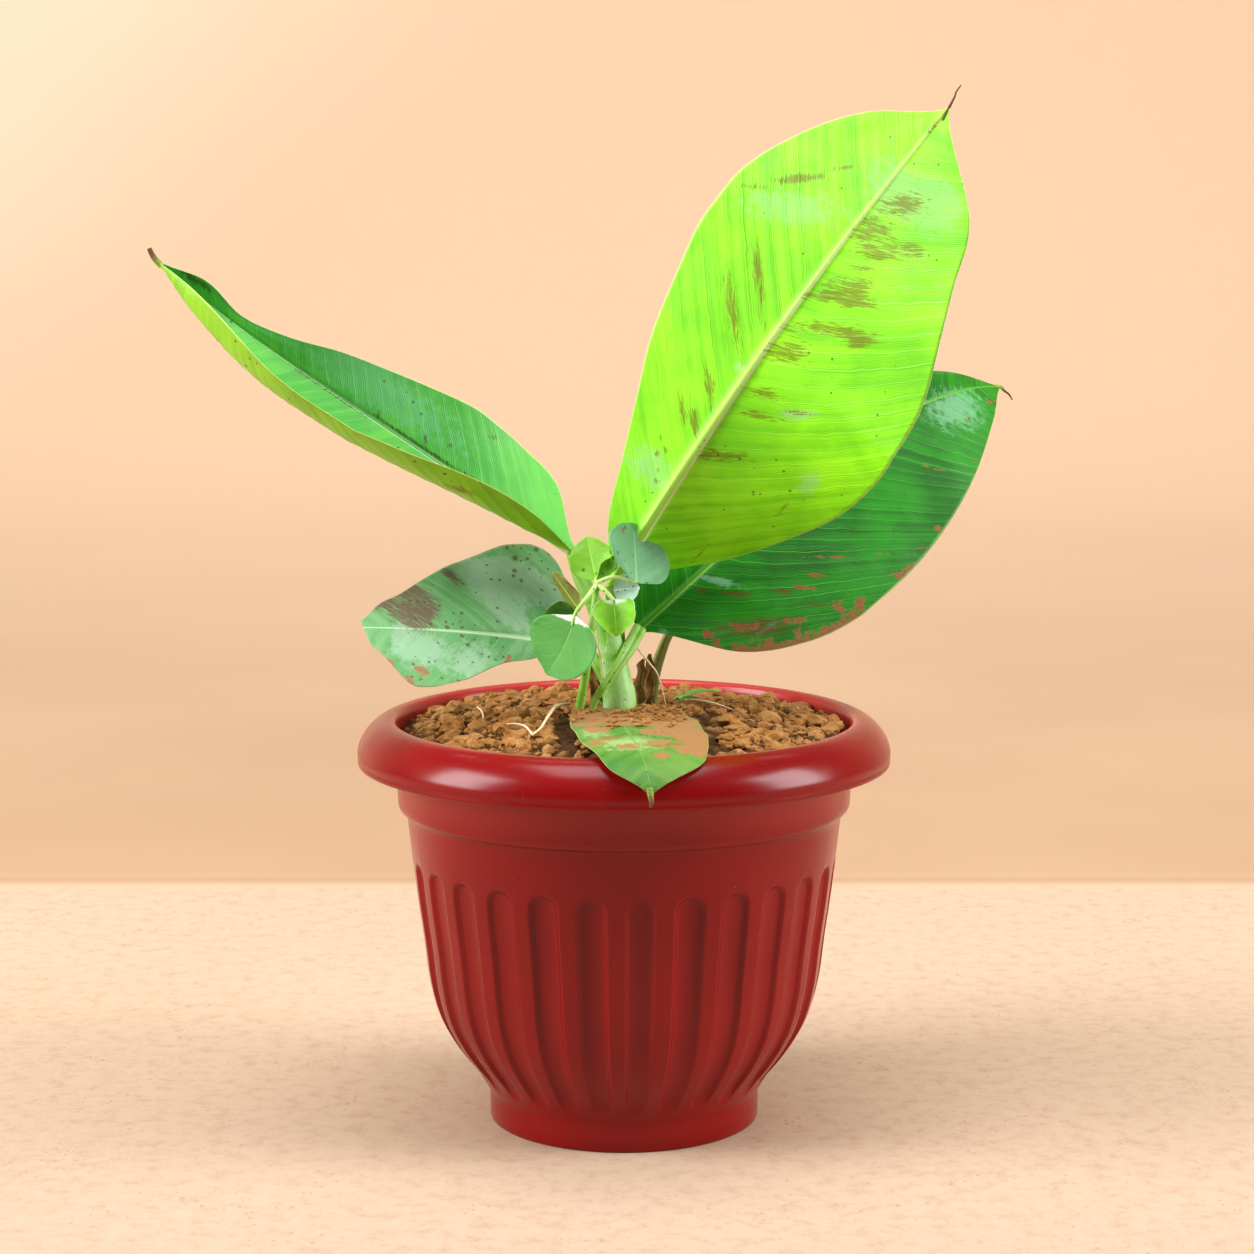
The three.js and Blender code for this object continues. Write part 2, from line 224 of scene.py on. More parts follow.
def new_material(name, **shader_values):
    """A material with one Principled shader, its plain values set on its own sockets."""
    material = bpy.data.materials.new(name)
    material.use_nodes = True
    tree = material.node_tree
    shader = tree.nodes["Principled BSDF"]
    for label, value in shader_values.items():
        shader.inputs[label.replace("_", " ")].default_value = value
    return material, tree, shader.inputs


def make_bumpy(tree, shader, height, strength, distance):
    """Lays fine relief over a finish, so many metres high."""
    bump = add_node(tree, "Bump", {"Strength": strength, "Distance": distance, "Height": height})
    tree.links.new(bump.outputs[0], shader["Normal"])


# Fine grit and dust: small dots of several sizes that sit thicker in cloudy patches.
speckles, given, gives = new_group(
    "speckles",
    [("Place", "Vector", None), ("Scale", "Float", 400.0), ("Amount", "Float", 0.3)],
    [("Mask", "Float")],
)
cells = add_node(speckles, "TexVoronoi", {"Vector": given["Place"], "Scale": given["Scale"]})
cell_luck = add_node(speckles, "SeparateColor", {0: cells.outputs["Color"]}).outputs[0]
patch_scale = times(speckles, given["Scale"], 0.06)
patches = mottle(speckles, given["Place"], patch_scale)
chance = times(speckles, given["Amount"], ease(speckles, patches, 0.42, 0.68))
chosen = maths(speckles, "LESS_THAN", cell_luck, chance)
dot_size = maths(speckles, "MULTIPLY_ADD", cell_luck, 0.6, 0.16)
dot = maths(speckles, "LESS_THAN", cells.outputs["Distance"], dot_size)
speckles.links.new(times(speckles, chosen, dot), gives["Mask"])

pot_plastic, tree, shader = new_material(
    "dark_red_plastic", Roughness=0.24, IOR=1.5, Specular_IOR_Level=0.27)
here = own_place(tree)
cloud = mottle(tree, here, 9.0, 2.0)
red = tint(tree, ease(tree, cloud, 0.35, 0.65), paint("780709"), paint("840a0b"))
parts = axes(tree, here)
flat = add_node(tree, "CombineXYZ", {0: parts[0], 1: parts[1]}).outputs[0]
radius = add_node(tree, "VectorMath", {0: flat}, operation="LENGTH").outputs["Value"]
# The thin lip inside the roll is painted a paler red than the rest: a painted glow for the light that shines
# through and reflects off the thin plastic there.
painted_lip_glow = times(tree, ease(tree, radius, 0.1125, 0.1095), ease(tree, parts[2], 0.15, 0.186))
red = tint(tree, times(tree, painted_lip_glow, 0.8), red, paint("c63e38"))
dusty = use_group(tree, speckles, {"Place": here, "Scale": 700.0, "Amount": 0.06})[0]
red = tint(tree, times(tree, dusty, 0.12), red, paint("c69a82"))
tree.links.new(red, shader["Base Color"])
haze = ease(tree, mottle(tree, here, 40.0, 4.0), 0.3, 0.75, 0.2, 0.25)
tree.links.new(maths(tree, "ADD", haze, times(tree, dusty, 0.15)), shader["Roughness"])
make_bumpy(tree, shader, mottle(tree, here, 120.0, 2.0), 0.02, 0.0003)

bm = bmesh.new()
outline = [Vector(point) for point in UNDERSIDE + FOOT]
# The belly's rows lie close together only at the round ends of the flutes.
for row, point in enumerate(along_curve(BELLY, 1)):
    if row % 4 == 0 or 18 < point.y < 26 or 120 < point.y < 131:
        outline.append(point)
outline += along_curve(STEP_AND_NECK, 3.2) + along_curve(UNDER_ROLL, 3)
outline += [Vector(point) for point in ROLL_EDGE]
outline += along_curve(ROLL, 1.7) + along_curve(INSIDE, 6)
outline += [point - WALL for point in reversed(along_curve(BELLY, 10)[:-2])]
outline += [Vector(point) for point in INNER_FLOOR]
turn_round(bm, [(point.x * MM, point.y * MM) for point in outline], POT_STEPS)
for vert in bm.verts:
    if FLUTE_BOTTOM < vert.co.z < FLUTE_TOP:
        vert.co.xy *= 1 - flute_press(vert.co) / math.hypot(vert.co.x, vert.co.y)
finish_piece("fluted_pot", bm, [pot_plastic], ["pot"])

# ====================================================================== soil
# Dry garden loam, heaped into the pot by hand up to the rim: a low mound that is cracked into
# clods, with loose lumps, crumbs and a few bare rootlets lying on it.

SOIL_RADIUS = 106.2 * MM
SOIL_TOP = 199 * MM
SOIL_FALL = 7 * MM
CLOD_SIZES = ((16 * MM, 3.6 * MM), (7.5 * MM, 2.2 * MM), (3.6 * MM, 0.9 * MM))
BED_RINGS = 84
BED_STEPS = 380
CLODS, CRUMBS = 520, 2600
LUMPS_UNDER_LEAF, CRUMBS_ON_LEAF = 150, 640
FALLEN_LEAF_TOP = 201.3 * MM


def clod_cover(x, y):
    """Height of the cracked clods over the smooth mound, and how open the soil is there, which the loam
    shows as painted shade in the cracks.
    """
    height, open_share = 0, 0
    for size, tall in CLOD_SIZES:
        shift = Vector((noise.noise((x * 60, y * 60, size * 900)), noise.noise((x * 60, y * 60, 7)), 0))
        spot = Vector((x / size, y / size, size * 700)) + shift * 0.45
        near = noise.voronoi(spot)[0]
        crown = min((near[1] - near[0]) * 1.5, 1) ** 0.55
        height += tall * (crown - 0.55)
        open_share += (1 - crown) * tall / 5.6 / MM
    height += 2.2 * MM * noise.noise((x * 38, y * 38, 3.1))
    return height, min(open_share, 1)


def soil_height(x, y):
    """Height of the soil at a place, with flatter clods round the stem, and how open it is."""
    share = min(math.hypot(x, y) / SOIL_RADIUS, 1)
    cover, open_share = clod_cover(x, y)
    calm = min(1, max(0, (math.hypot(x + 2 * MM, y + 7 * MM) - 9 * MM) / (14 * MM)))
    mound = SOIL_TOP - SOIL_FALL * share ** 3 - 2.6 * MM
    return mound + cover * (0.35 + 0.65 * calm), open_share


loam, tree, shader = new_material("dry_loam", Roughness=0.95, Specular_IOR_Level=0.2)
here = own_place(tree)
shade = add_node(tree, "Attribute", attribute_name="painted_soil_shade").outputs["Fac"]
lump = mottle(tree, here, 120.0, 6.0, 0.65)
earth = tint(tree, ease(tree, lump, 0.3, 0.7), paint("98642c"), paint("bd8b54"))
earth = tint(tree, ease(tree, mottle(tree, here, 28.0, 3.0), 0.4, 0.7, 0.0, 0.5), earth, paint("a66e32"))
gritty = use_group(tree, speckles, {"Place": here, "Scale": 900.0, "Amount": 0.5})[0]
earth = tint(tree, times(tree, gritty, 0.5), earth, paint("c6a27a"))
# Painted shade: the loam is darkened in the cracks between clods and under each lump.
earth = tint(tree, ease(tree, shade, 0.1, 0.62, 0.0, 0.9), earth, paint("3c220e"))
tree.links.new(earth, shader["Base Color"])
make_bumpy(tree, shader, mottle(tree, here, 700.0, 8.0, 0.7), 0.8, 0.0012)

bm = bmesh.new()
painted_soil_shade = bm.verts.layers.float.new("painted_soil_shade")
bed_radius = SOIL_RADIUS / MM
bed = [(0, 172), (104, 172), (bed_radius, 178), (bed_radius, 184)]
bed += [(bed_radius * (1 - ring / BED_RINGS), 190) for ring in range(BED_RINGS + 1)]
turn_round(bm, [(radius * MM, height * MM) for radius, height in bed], BED_STEPS)
for vert in bm.verts:
    # The top keeps how open its cracks are, as painted shade for the loam.
    if vert.co.z > 189 * MM:
        vert.co.z, vert[painted_soil_shade] = soil_height(vert.co.x, vert.co.y)
finish_piece("soil_bed", bm, [loam], ["soil"])


def add_lump(bm, x, y, size, detail, painted_shade_layer, floor=None):
    """Drops one broken lump on the soil or on a given floor, sunk in by part of its height."""
    turn = random.uniform(0, math.tau)
    turned = Matrix.Rotation(turn, 4, Vector((random.random(), random.random(), 1)))
    made = bmesh.ops.create_icosphere(bm, subdivisions=detail, radius=size, matrix=turned)["verts"]
    stretch = Vector((random.uniform(0.8, 1.35), random.uniform(0.75, 1.2), random.uniform(0.6, 0.9)))
    seed = Vector((x * 911, y * 733, size * 4000))
    floor = floor or soil_height(x, y)[0]
    for vert in made:
        push = 1 + 0.5 * noise.noise(vert.co / size * 1.6 + seed)
        push += 0.3 * noise.noise(vert.co / size * 3.4 + seed)
        vert.co = Vector((vert.co.x * stretch.x, vert.co.y * stretch.y, vert.co.z * stretch.z)) * push
        # Painted shade: the lower half of each lump is darkened.
        vert[painted_shade_layer] = 0.35 * max(0, -vert.co.z / size)
        vert.co += Vector((x, y, floor + size * 0.15))


def soil_spot(spread):
    """A random place on the soil, clear of the stem and of the fallen leaf."""
    while True:
        radius = SOIL_RADIUS * random.random() ** spread
        angle = random.uniform(0, math.tau)
        x, y = radius * math.cos(angle), radius * math.sin(angle)
        under_leaf = -33 * MM < x < 45 * MM and y < 2 * MM
        if math.hypot(x, y + 7 * MM) > 13 * MM and radius < 102 * MM and not under_leaf:
            return x, y


bm = bmesh.new()
painted_soil_shade = bm.verts.layers.float.new("painted_soil_shade")
for clod in range(CLODS):
    larger = 1 if clod % 7 else 1.35
    add_lump(bm, *soil_spot(0.46), random.uniform(1.6, 3.9) * MM * larger, 2, painted_soil_shade)
finish_piece("soil_clods", bm, [loam], shade=False)

bm = bmesh.new()
painted_soil_shade = bm.verts.layers.float.new("painted_soil_shade")
for crumb in range(CRUMBS):
    add_lump(bm, *soil_spot(0.5), random.uniform(0.5, 1.7) * MM, 1, painted_soil_shade)
for lump in range(LUMPS_UNDER_LEAF):
    x, y = random.uniform(-20, 28) * MM, random.uniform(-30, -92) * MM
    add_lump(bm, x, y, random.uniform(1.6, 2.8) * MM, 2, painted_soil_shade)
for crumb in range(CRUMBS_ON_LEAF):
    back = random.random() ** 1.7
    x, y = random.uniform(-25, 34 - 8 * back) * MM, (-7 - 62 * back) * MM
    if noise.noise((x * 90, y * 90, 4.4)) > -0.32 + 0.5 * back - 9 * max(x, 0):
        add_lump(bm, x, y, random.uniform(0.4, 1.4) * MM, 1, painted_soil_shade, FALLEN_LEAF_TOP)
finish_piece("soil_crumbs", bm, [loam], shade=False)

# ================================================================ stem and stalks
# The pseudostem is rolled from the leaf bases, pale green under a whitish bloom. Each leaf's
# stalk leaves it as a channelled limb, and the stub of an older leaf stands beside it.


def add_limb(bm, route, radii, sides, rings, section=None):
    """A limb along a smooth route in millimetres, closed at both ends. Its skin layer keeps
    the unrolled place of each point, and section(turn, along) shapes the round."""
    skin = bm.verts.layers.float_vector.get("skin") or bm.verts.layers.float_vector.new("skin")
    path = along_curve(route, 0.7)
    cone = bmesh.ops.create_cone(bm, cap_ends=True, segments=sides, radius1=1, radius2=1, depth=1)
    edges = {edge for vert in cone["verts"] for edge in vert.link_edges}
    uprights = [edge for edge in edges if abs(edge.verts[0].co.z - edge.verts[1].co.z) > 0.5]
    bmesh.ops.subdivide_edges(bm, edges=uprights, cuts=rings - 1, use_grid_fill=True)
    total = sum((b - a).length for a, b in zip(path, path[1:]))
    for vert in bm.verts:
        # An earlier limb's points already lie in place and have their skin.
        if vert[skin].length_squared > 0:
            continue
        along = min(max(vert.co.z + 0.5, 0), 1)
        turn = math.atan2(vert.co.y, vert.co.x)
        walk = along * (len(path) - 1)
        before = min(int(walk), len(path) - 2)
        middle = path[before].lerp(path[before + 1], walk - before)
        ahead = (path[min(before + 2, len(path) - 1)] - path[max(before - 1, 0)]).normalized()
        right = ahead.cross(Vector((0.02, -1, 0.03))).normalized()
        front = right.cross(ahead)
        place = along * (len(radii) - 1)
        lower = min(int(place), len(radii) - 2)
        radius = radii[lower] + (radii[lower + 1] - radii[lower]) * (place - lower)
        swell = section(turn, along) if section else 1
        arm = right * math.cos(turn) + front * math.sin(turn)
        vert.co = (middle + arm * radius * swell) * MM
        vert[skin] = (math.cos(turn) * radius * MM, math.sin(turn) * radius * MM, along * total * MM)


def build_limbs(name, material, slot, nodes, *limbs):
    """Joins limbs of one material in one piece: each is a route, radii, sides, rings, section."""
    bm = bmesh.new()
    for limb in limbs:
        add_limb(bm, *limb)
    finish_piece(name, bm, [material], nodes)


# Lines that run along a stem or a sheath, read from its unrolled skin.
grain, given, gives = new_group(
    "grain",
    [("Skin", "Vector", None), ("Scale", "Float", 900.0), ("Stretch", "Float", 0.03)],
    [("Lines", "Float"), ("Streaks", "Float")],
)
drawn = add_node(grain, "CombineXYZ", {0: 1.0, 1: 1.0, 2: given["Stretch"]}).outputs[0]
pulled = add_node(grain, "VectorMath", {0: given["Skin"], 1: drawn}, operation="MULTIPLY").outputs[0]
grain.links.new(mottle(grain, pulled, given["Scale"], 2.0), gives["Lines"])
broad = times(grain, given["Scale"], 0.3)
grain.links.new(mottle(grain, pulled, broad, 3.0), gives["Streaks"])


def stem_skin(name, low, high, streak, bloom, bloom_share, top):
    """A green stem that turns from one colour at the soil to another at a height."""
    material, tree, shader = new_material(name, Roughness=0.42, Specular_IOR_Level=0.45)
    here = own_place(tree)
    skin = read_layer(tree, "skin")
    lines = use_group(tree, grain, {"Skin": skin})
    height = axes(tree, here)[2]
    colour = tint(tree, ease(tree, height, 0.2, top), paint(low), paint(high))
    colour = tint(tree, ease(tree, lines["Streaks"], 0.45, 0.7, 0.0, 0.55), colour, paint(streak))
    powder = times(tree, ease(tree, mottle(tree, here, 150.0, 4.0), 0.38, 0.62), bloom_share)
    colour = tint(tree, powder, colour, paint(bloom))
    specks = use_group(tree, speckles, {"Place": here, "Scale": 420.0, "Amount": 0.3})[0]
    colour = tint(tree, times(tree, specks, 0.75), colour, paint("3b2a14"))
    tree.links.new(colour, shader["Base Color"])
    tree.links.new(ease(tree, powder, 0.0, 0.6, 0.38, 0.62), shader["Roughness"])
    make_bumpy(tree, shader, lines["Lines"], 0.5, 0.0005)
    return material


stem_green = stem_skin("bloomed_stem", "8cc45e", "7cb834", "60a028", "bcd8a8", 0.42, 0.235)
stalk_green = stem_skin("bright_stalk", "74b021", "93c944", "5f9a1c", "c4dca0", 0.2, 0.25)
old_stub = stem_skin("old_stub", "6f7a2c", "9aa84a", "7a4f26", "b9a878", 0.2, 0.24)

STEM_FOOT = SOIL_TOP / MM - 5


def wrapped(turn, along):
    """Rolled leaf bases: each one's edge stands a little proud of the next."""
    lap = (turn / math.tau + 0.62 * along + 0.3) % 1
    second = (turn / math.tau - 0.4 * along + 0.75) % 1
    return 0.97 + 0.07 * lap ** 3 + 0.05 * second ** 4


def channelled(turn, along):
    """A leaf stalk: round below, with a channel along its upper side."""
    return 1 - 0.4 * math.exp(-((turn - math.pi / 2) / 0.55) ** 2)


build_limbs("rolled_stem", stem_green, "stem", ["pseudostem"], (
    [(-1.7, -7, STEM_FOOT), (-2.2, -7, 206), (-3.8, -7, 214), (-7.3, -6, 234), (-14, -4, 250)],
    [8.2, 7.8, 6.8, 5.4, 4.3], 72, 110, wrapped))
build_limbs(
    "leaf_stalks", stalk_green, "stem", ["stalk_left", "stalk_tall", "stalk_low"],
    ([(-13.2, -4.2, 248.5), (-20, -2, 261), (-24.5, 0, 274)], [4.3, 3.9, 3], 40, 60, channelled),
    ([(-3, 0, 222), (-4, 0, 240), (-6, -3.6, 259)], [4.5, 3.9, 3.1], 40, 70, channelled),
    ([(-7, -9, 211), (-13, -7, 222), (-19, -2.2, 229.2)], [3.4, 3, 2.6], 36, 50, channelled))
build_limbs("crossing_stalk", stalk_green, "stem", ["stalk_right"], (
    [(-17.6, -18, STEM_FOOT), (-13, -19, 207), (-8, -19, 214.6), (0.5, -12, 226.4), (7.3, 1.8, 237)],
    [1.5, 1.7, 2.2, 3.3, 3.4], 40, 90, channelled))
build_limbs("old_stalk", old_stub, "stem", ["stalk_old"], (
    [(12.5, 14, STEM_FOOT), (14.4, 14, 212), (19.5, 16, 228), (23.5, 17, 235)],
    [3.3, 3, 2.6, 2], 36, 60, channelled))

# ================================================================== leaf blades
# Thin green blades on a ribbed midrib that is channelled above and ridged below. Parallel veins
# leave the midrib and turn forward to a thin pale margin. Each blade is laid out flat, in shares
# of its length and width, and bent to its own fold, roll and droop.


BLUNT_TIP = 0.7


def at_share(values, share):
    """A value given at even stations from base to tip, smoothly between them."""
    if isinstance(values, (int, float)):
        return values
    walk = min(max(share, 0), 1) * (len(values) - 1)
    i = min(int(walk), len(values) - 2)
    t = walk - i
    a, b = values[max(i - 1, 0)], values[i]
    c, d = values[i + 1], values[min(i + 2, len(values) - 1)]
    low, high = sorted((b, c))
    bend = (2 * a - 5 * b + 4 * c - d) * t * t
    smooth = 0.5 * (2 * b + (c - a) * t + bend + (3 * b - a - 3 * c + d) * t ** 3)
    return min(max(smooth, low), high) if len(values) > 3 else b + (c - b) * t


def heading_at(leaf, share):
    """The way the midrib points at a share of its length."""
    turn = math.radians(leaf["heading"] + leaf.get("swing", 0) * share)
    rise = math.radians(leaf["rise"] + leaf.get("bend", 0) * share ** leaf.get("bend_power", 1))
    return Vector((math.cos(rise) * math.cos(turn), math.cos(rise) * math.sin(turn), math.sin(rise)))


def midrib_stations(leaf, rows):
    """The place, the rightward and the upward direction of the midrib at each row."""
    place = Vector(leaf["base"])
    stations = []
    for row in range(rows + 1):
        share = row / rows
        ahead = heading_at(leaf, share)
        level = ahead.cross(Vector((0, 0, 1))).normalized()
        above = level.cross(ahead)
        roll = math.radians(leaf["roll"] + leaf.get("twist", 0) * share)
        side = level * math.cos(roll) + above * math.sin(roll)
        up = above * math.cos(roll) - level * math.sin(roll)
        stations.append((place.copy(), side, up))
        for step in range(4):
            place += heading_at(leaf, (row + (step + 0.5) / 4) / rows) * (leaf["length"] / rows / 4)
    return stations


def mark_weights(leaf, across, along):
    """How strongly brown streaks, dirt and pale bloom with painted sheen lie on a point. Each mark gives its
    middle across and along the blade, its half sizes both ways, and its lean."""
    weights = []
    for kind in ("brown", "dirt", "bloom"):
        weight = 0.0
        for mark_across, mark_along, half_across, half_along, lean in leaf.get(kind, ()):
            x = across - mark_across
            y = along - mark_along - x * lean * (1 if mark_across > 0 else -1)
            away = (x / half_across) ** 2 + (y / half_along) ** 2
            if away < 5:
                weight = min(1, weight + math.exp(-away * 0.9))
        weights.append(weight)
    return weights


def add_blade(bm, leaf, rows, columns):
    """One blade with a real thickness, ridged midrib, raised veins and a waved margin."""
    place_layer = bm.verts.layers.float_vector.new("leaf")
    vein_layer = bm.verts.layers.float_vector.new("veins")
    mark_layer = bm.verts.layers.float_vector.new("marks")
    bmesh.ops.create_grid(bm, x_segments=columns, y_segments=rows, size=0.5)
    raised = bmesh.ops.extrude_face_region(bm, geom=list(bm.faces))["geom"]
    for item in raised:
        if isinstance(item, bmesh.types.BMVert):
            item.co.z += 1
    for face in bm.faces:
        face.material_index = 0 if all(vert.co.z > 0.5 for vert in face.verts) else 1
    stations = midrib_stations(leaf, rows)
    long = leaf["length"]
    ridge, channel, body = leaf.get("ridge", 2.4), leaf.get("channel", 1.0), leaf.get("body", 0.6)
    wave, seed = leaf.get("wave", 1.2), leaf.get("seed", 1)
    spread = leaf.get("spread", 1.25)
    for vert in bm.verts:
        share = min(max(vert.co.y + 0.5, 0), 1)
        flat = min(max(vert.co.x * 2, -1), 1)
        v = abs(flat) ** spread
        sign = 1 if flat > 0 else -1
        top = vert.co.z > 0.5
        hand = "right" if flat > 0 else "left"
        width = max(at_share(leaf[hand], share), BLUNT_TIP)
        fold = math.radians(at_share(leaf.get("fold_" + hand, 8), share))
        curl = math.radians(at_share(leaf.get("curl_" + hand, 0), share)) + 1e-6
        slope = fold + curl * v
        reach = (math.sin(slope) - math.sin(fold)) / curl * width
        lift = (math.cos(fold) - math.cos(slope)) / curl * width
        across, along = v * width, share * long
        sweep, bow = leaf.get("sweep_" + hand) or leaf["sweep"]
        origin = along - sweep * across - bow * across * across
        rib_half = leaf.get("rib", 3.0) * (1 - 0.8 * share)
        hump = math.exp(-(across / rib_half) ** 2)
        vein = math.cos(math.tau * origin / leaf.get("vein_gap", 9.0)) * 0.5 + 0.5
        relief = leaf.get("relief", 0.22) * vein ** 6 * min(1, across / 6) * min(1, (1 - v) * 8)
        phase = share * leaf.get("waves", 3.3) + 0.21 * seed + 0.5 * (sign > 0)
        ripple = wave * v * v * math.sin(math.tau * phase)
        ripple += wave * 0.5 * v * noise.noise((share * 9 + seed, v * 3 * sign, seed * 1.7))
        ripple *= min(1, share * 8) * min(1, (1 - share) * 8)
        thick = body * (1 - 0.55 * v)
        if top:
            face = thick / 2 - channel * hump * (1 - share) - relief * 0.6
        else:
            face = -thick / 2 - ridge * hump * (1 - 0.85 * share) - relief
        root, side, up = stations[round(share * rows)]
        point = root + side * sign * (reach - (face + ripple) * math.sin(slope) * (v > 0))
        point += up * (lift + (face + ripple) * math.cos(slope))
        vert.co = point * MM
        vert[place_layer] = (sign * across * MM, along * MM, sign * v)
        vert[vein_layer] = (across * MM, origin * MM, share)
        vert[mark_layer] = mark_weights(leaf, sign * across, along)
    bmesh.ops.recalc_face_normals(bm, faces=bm.faces)


def build_blade(name, leaf, rows, columns, skins, nodes):
    """One leaf as one piece, with a skin for its face and one for its underside."""
    bm = bmesh.new()
    add_blade(bm, leaf, rows, columns)
    finish_piece(name, bm, skins, nodes)


# Side veins: broad ones at an even gap, each a little different, with fine ones between.
side_veins, given, gives = new_group(
    "side_veins",
    [("Veins", "Vector", None), ("Gap", "Float", 0.009), ("Breadth", "Float", 0.07)],
    [("Broad", "Float"), ("Fine", "Float"), ("Strip", "Float"), ("Streak", "Float")],
)
parts = axes(side_veins, given["Veins"])
wander = mottle(side_veins, given["Veins"], 30.0, 2.0)
origin = maths(side_veins, "MULTIPLY_ADD", wander, 0.004, parts[1])
counted = maths(side_veins, "DIVIDE", origin, given["Gap"])
fraction = maths(side_veins, "FRACT", counted)
from_line = maths(side_veins, "ABSOLUTE", maths(side_veins, "SUBTRACT", fraction, 0.5))
line = ease(side_veins, from_line, given["Breadth"], 0.0)
whole = maths(side_veins, "FLOOR", counted)
luck = add_node(side_veins, "TexWhiteNoise", {"W": whole}, noise_dimensions="1D").outputs["Value"]
broad = times(side_veins, line, ease(side_veins, luck, 0.0, 1.0, 0.35, 1.0))
side_veins.links.new(broad, gives["Broad"])
fine_wave = maths(side_veins, "SINE", times(side_veins, origin, 5200.0))
side_veins.links.new(maths(side_veins, "MULTIPLY_ADD", fine_wave, 0.5, 0.5), gives["Fine"])
DRAWN_LINES = (("Strip", 9.0, 160.0, 0.55), ("Streak", 130.0, 850.0, 0.7))
for label, across_scale, along_scale, rough in DRAWN_LINES:
    across, along = times(side_veins, parts[0], across_scale), times(side_veins, origin, along_scale)
    drawn = add_node(side_veins, "CombineXYZ", {0: across, 1: along}).outputs[0]
    side_veins.links.new(mottle(side_veins, drawn, 1.0, 4.0, rough), gives[label])

# The midrib: a band that narrows to the tip, with one pale line along its edge. On the tall blade that line
# is a painted highlight on the lit edge of the raised rib.
middle_rib, given, gives = new_group(
    "middle_rib",
    [("Leaf", "Vector", None), ("Length", "Float", 0.28), ("Half Width", "Float", 0.003),
     ("Line At", "Float", 0.0)],
    [("Band", "Float"), ("Line", "Float"), ("Margin", "Float")],
)
parts = axes(middle_rib, given["Leaf"])
share = maths(middle_rib, "DIVIDE", parts[1], given["Length"])
taper = maths(middle_rib, "MULTIPLY_ADD", share, -0.8, 1.0)
narrowed = times(middle_rib, given["Half Width"], taper)
aside = maths(middle_rib, "DIVIDE", maths(middle_rib, "ABSOLUTE", parts[0]), narrowed)
middle_rib.links.new(ease(middle_rib, aside, 1.15, 0.7), gives["Band"])
off_line = maths(middle_rib, "DIVIDE", parts[0], narrowed)
off_line = maths(middle_rib, "SUBTRACT", off_line, given["Line At"])
off_line = maths(middle_rib, "ABSOLUTE", off_line)
middle_rib.links.new(ease(middle_rib, off_line, 0.34, 0.1), gives["Line"])
outward = maths(middle_rib, "ABSOLUTE", parts[2])
middle_rib.links.new(ease(middle_rib, outward, 0.984, 0.998), gives["Margin"])


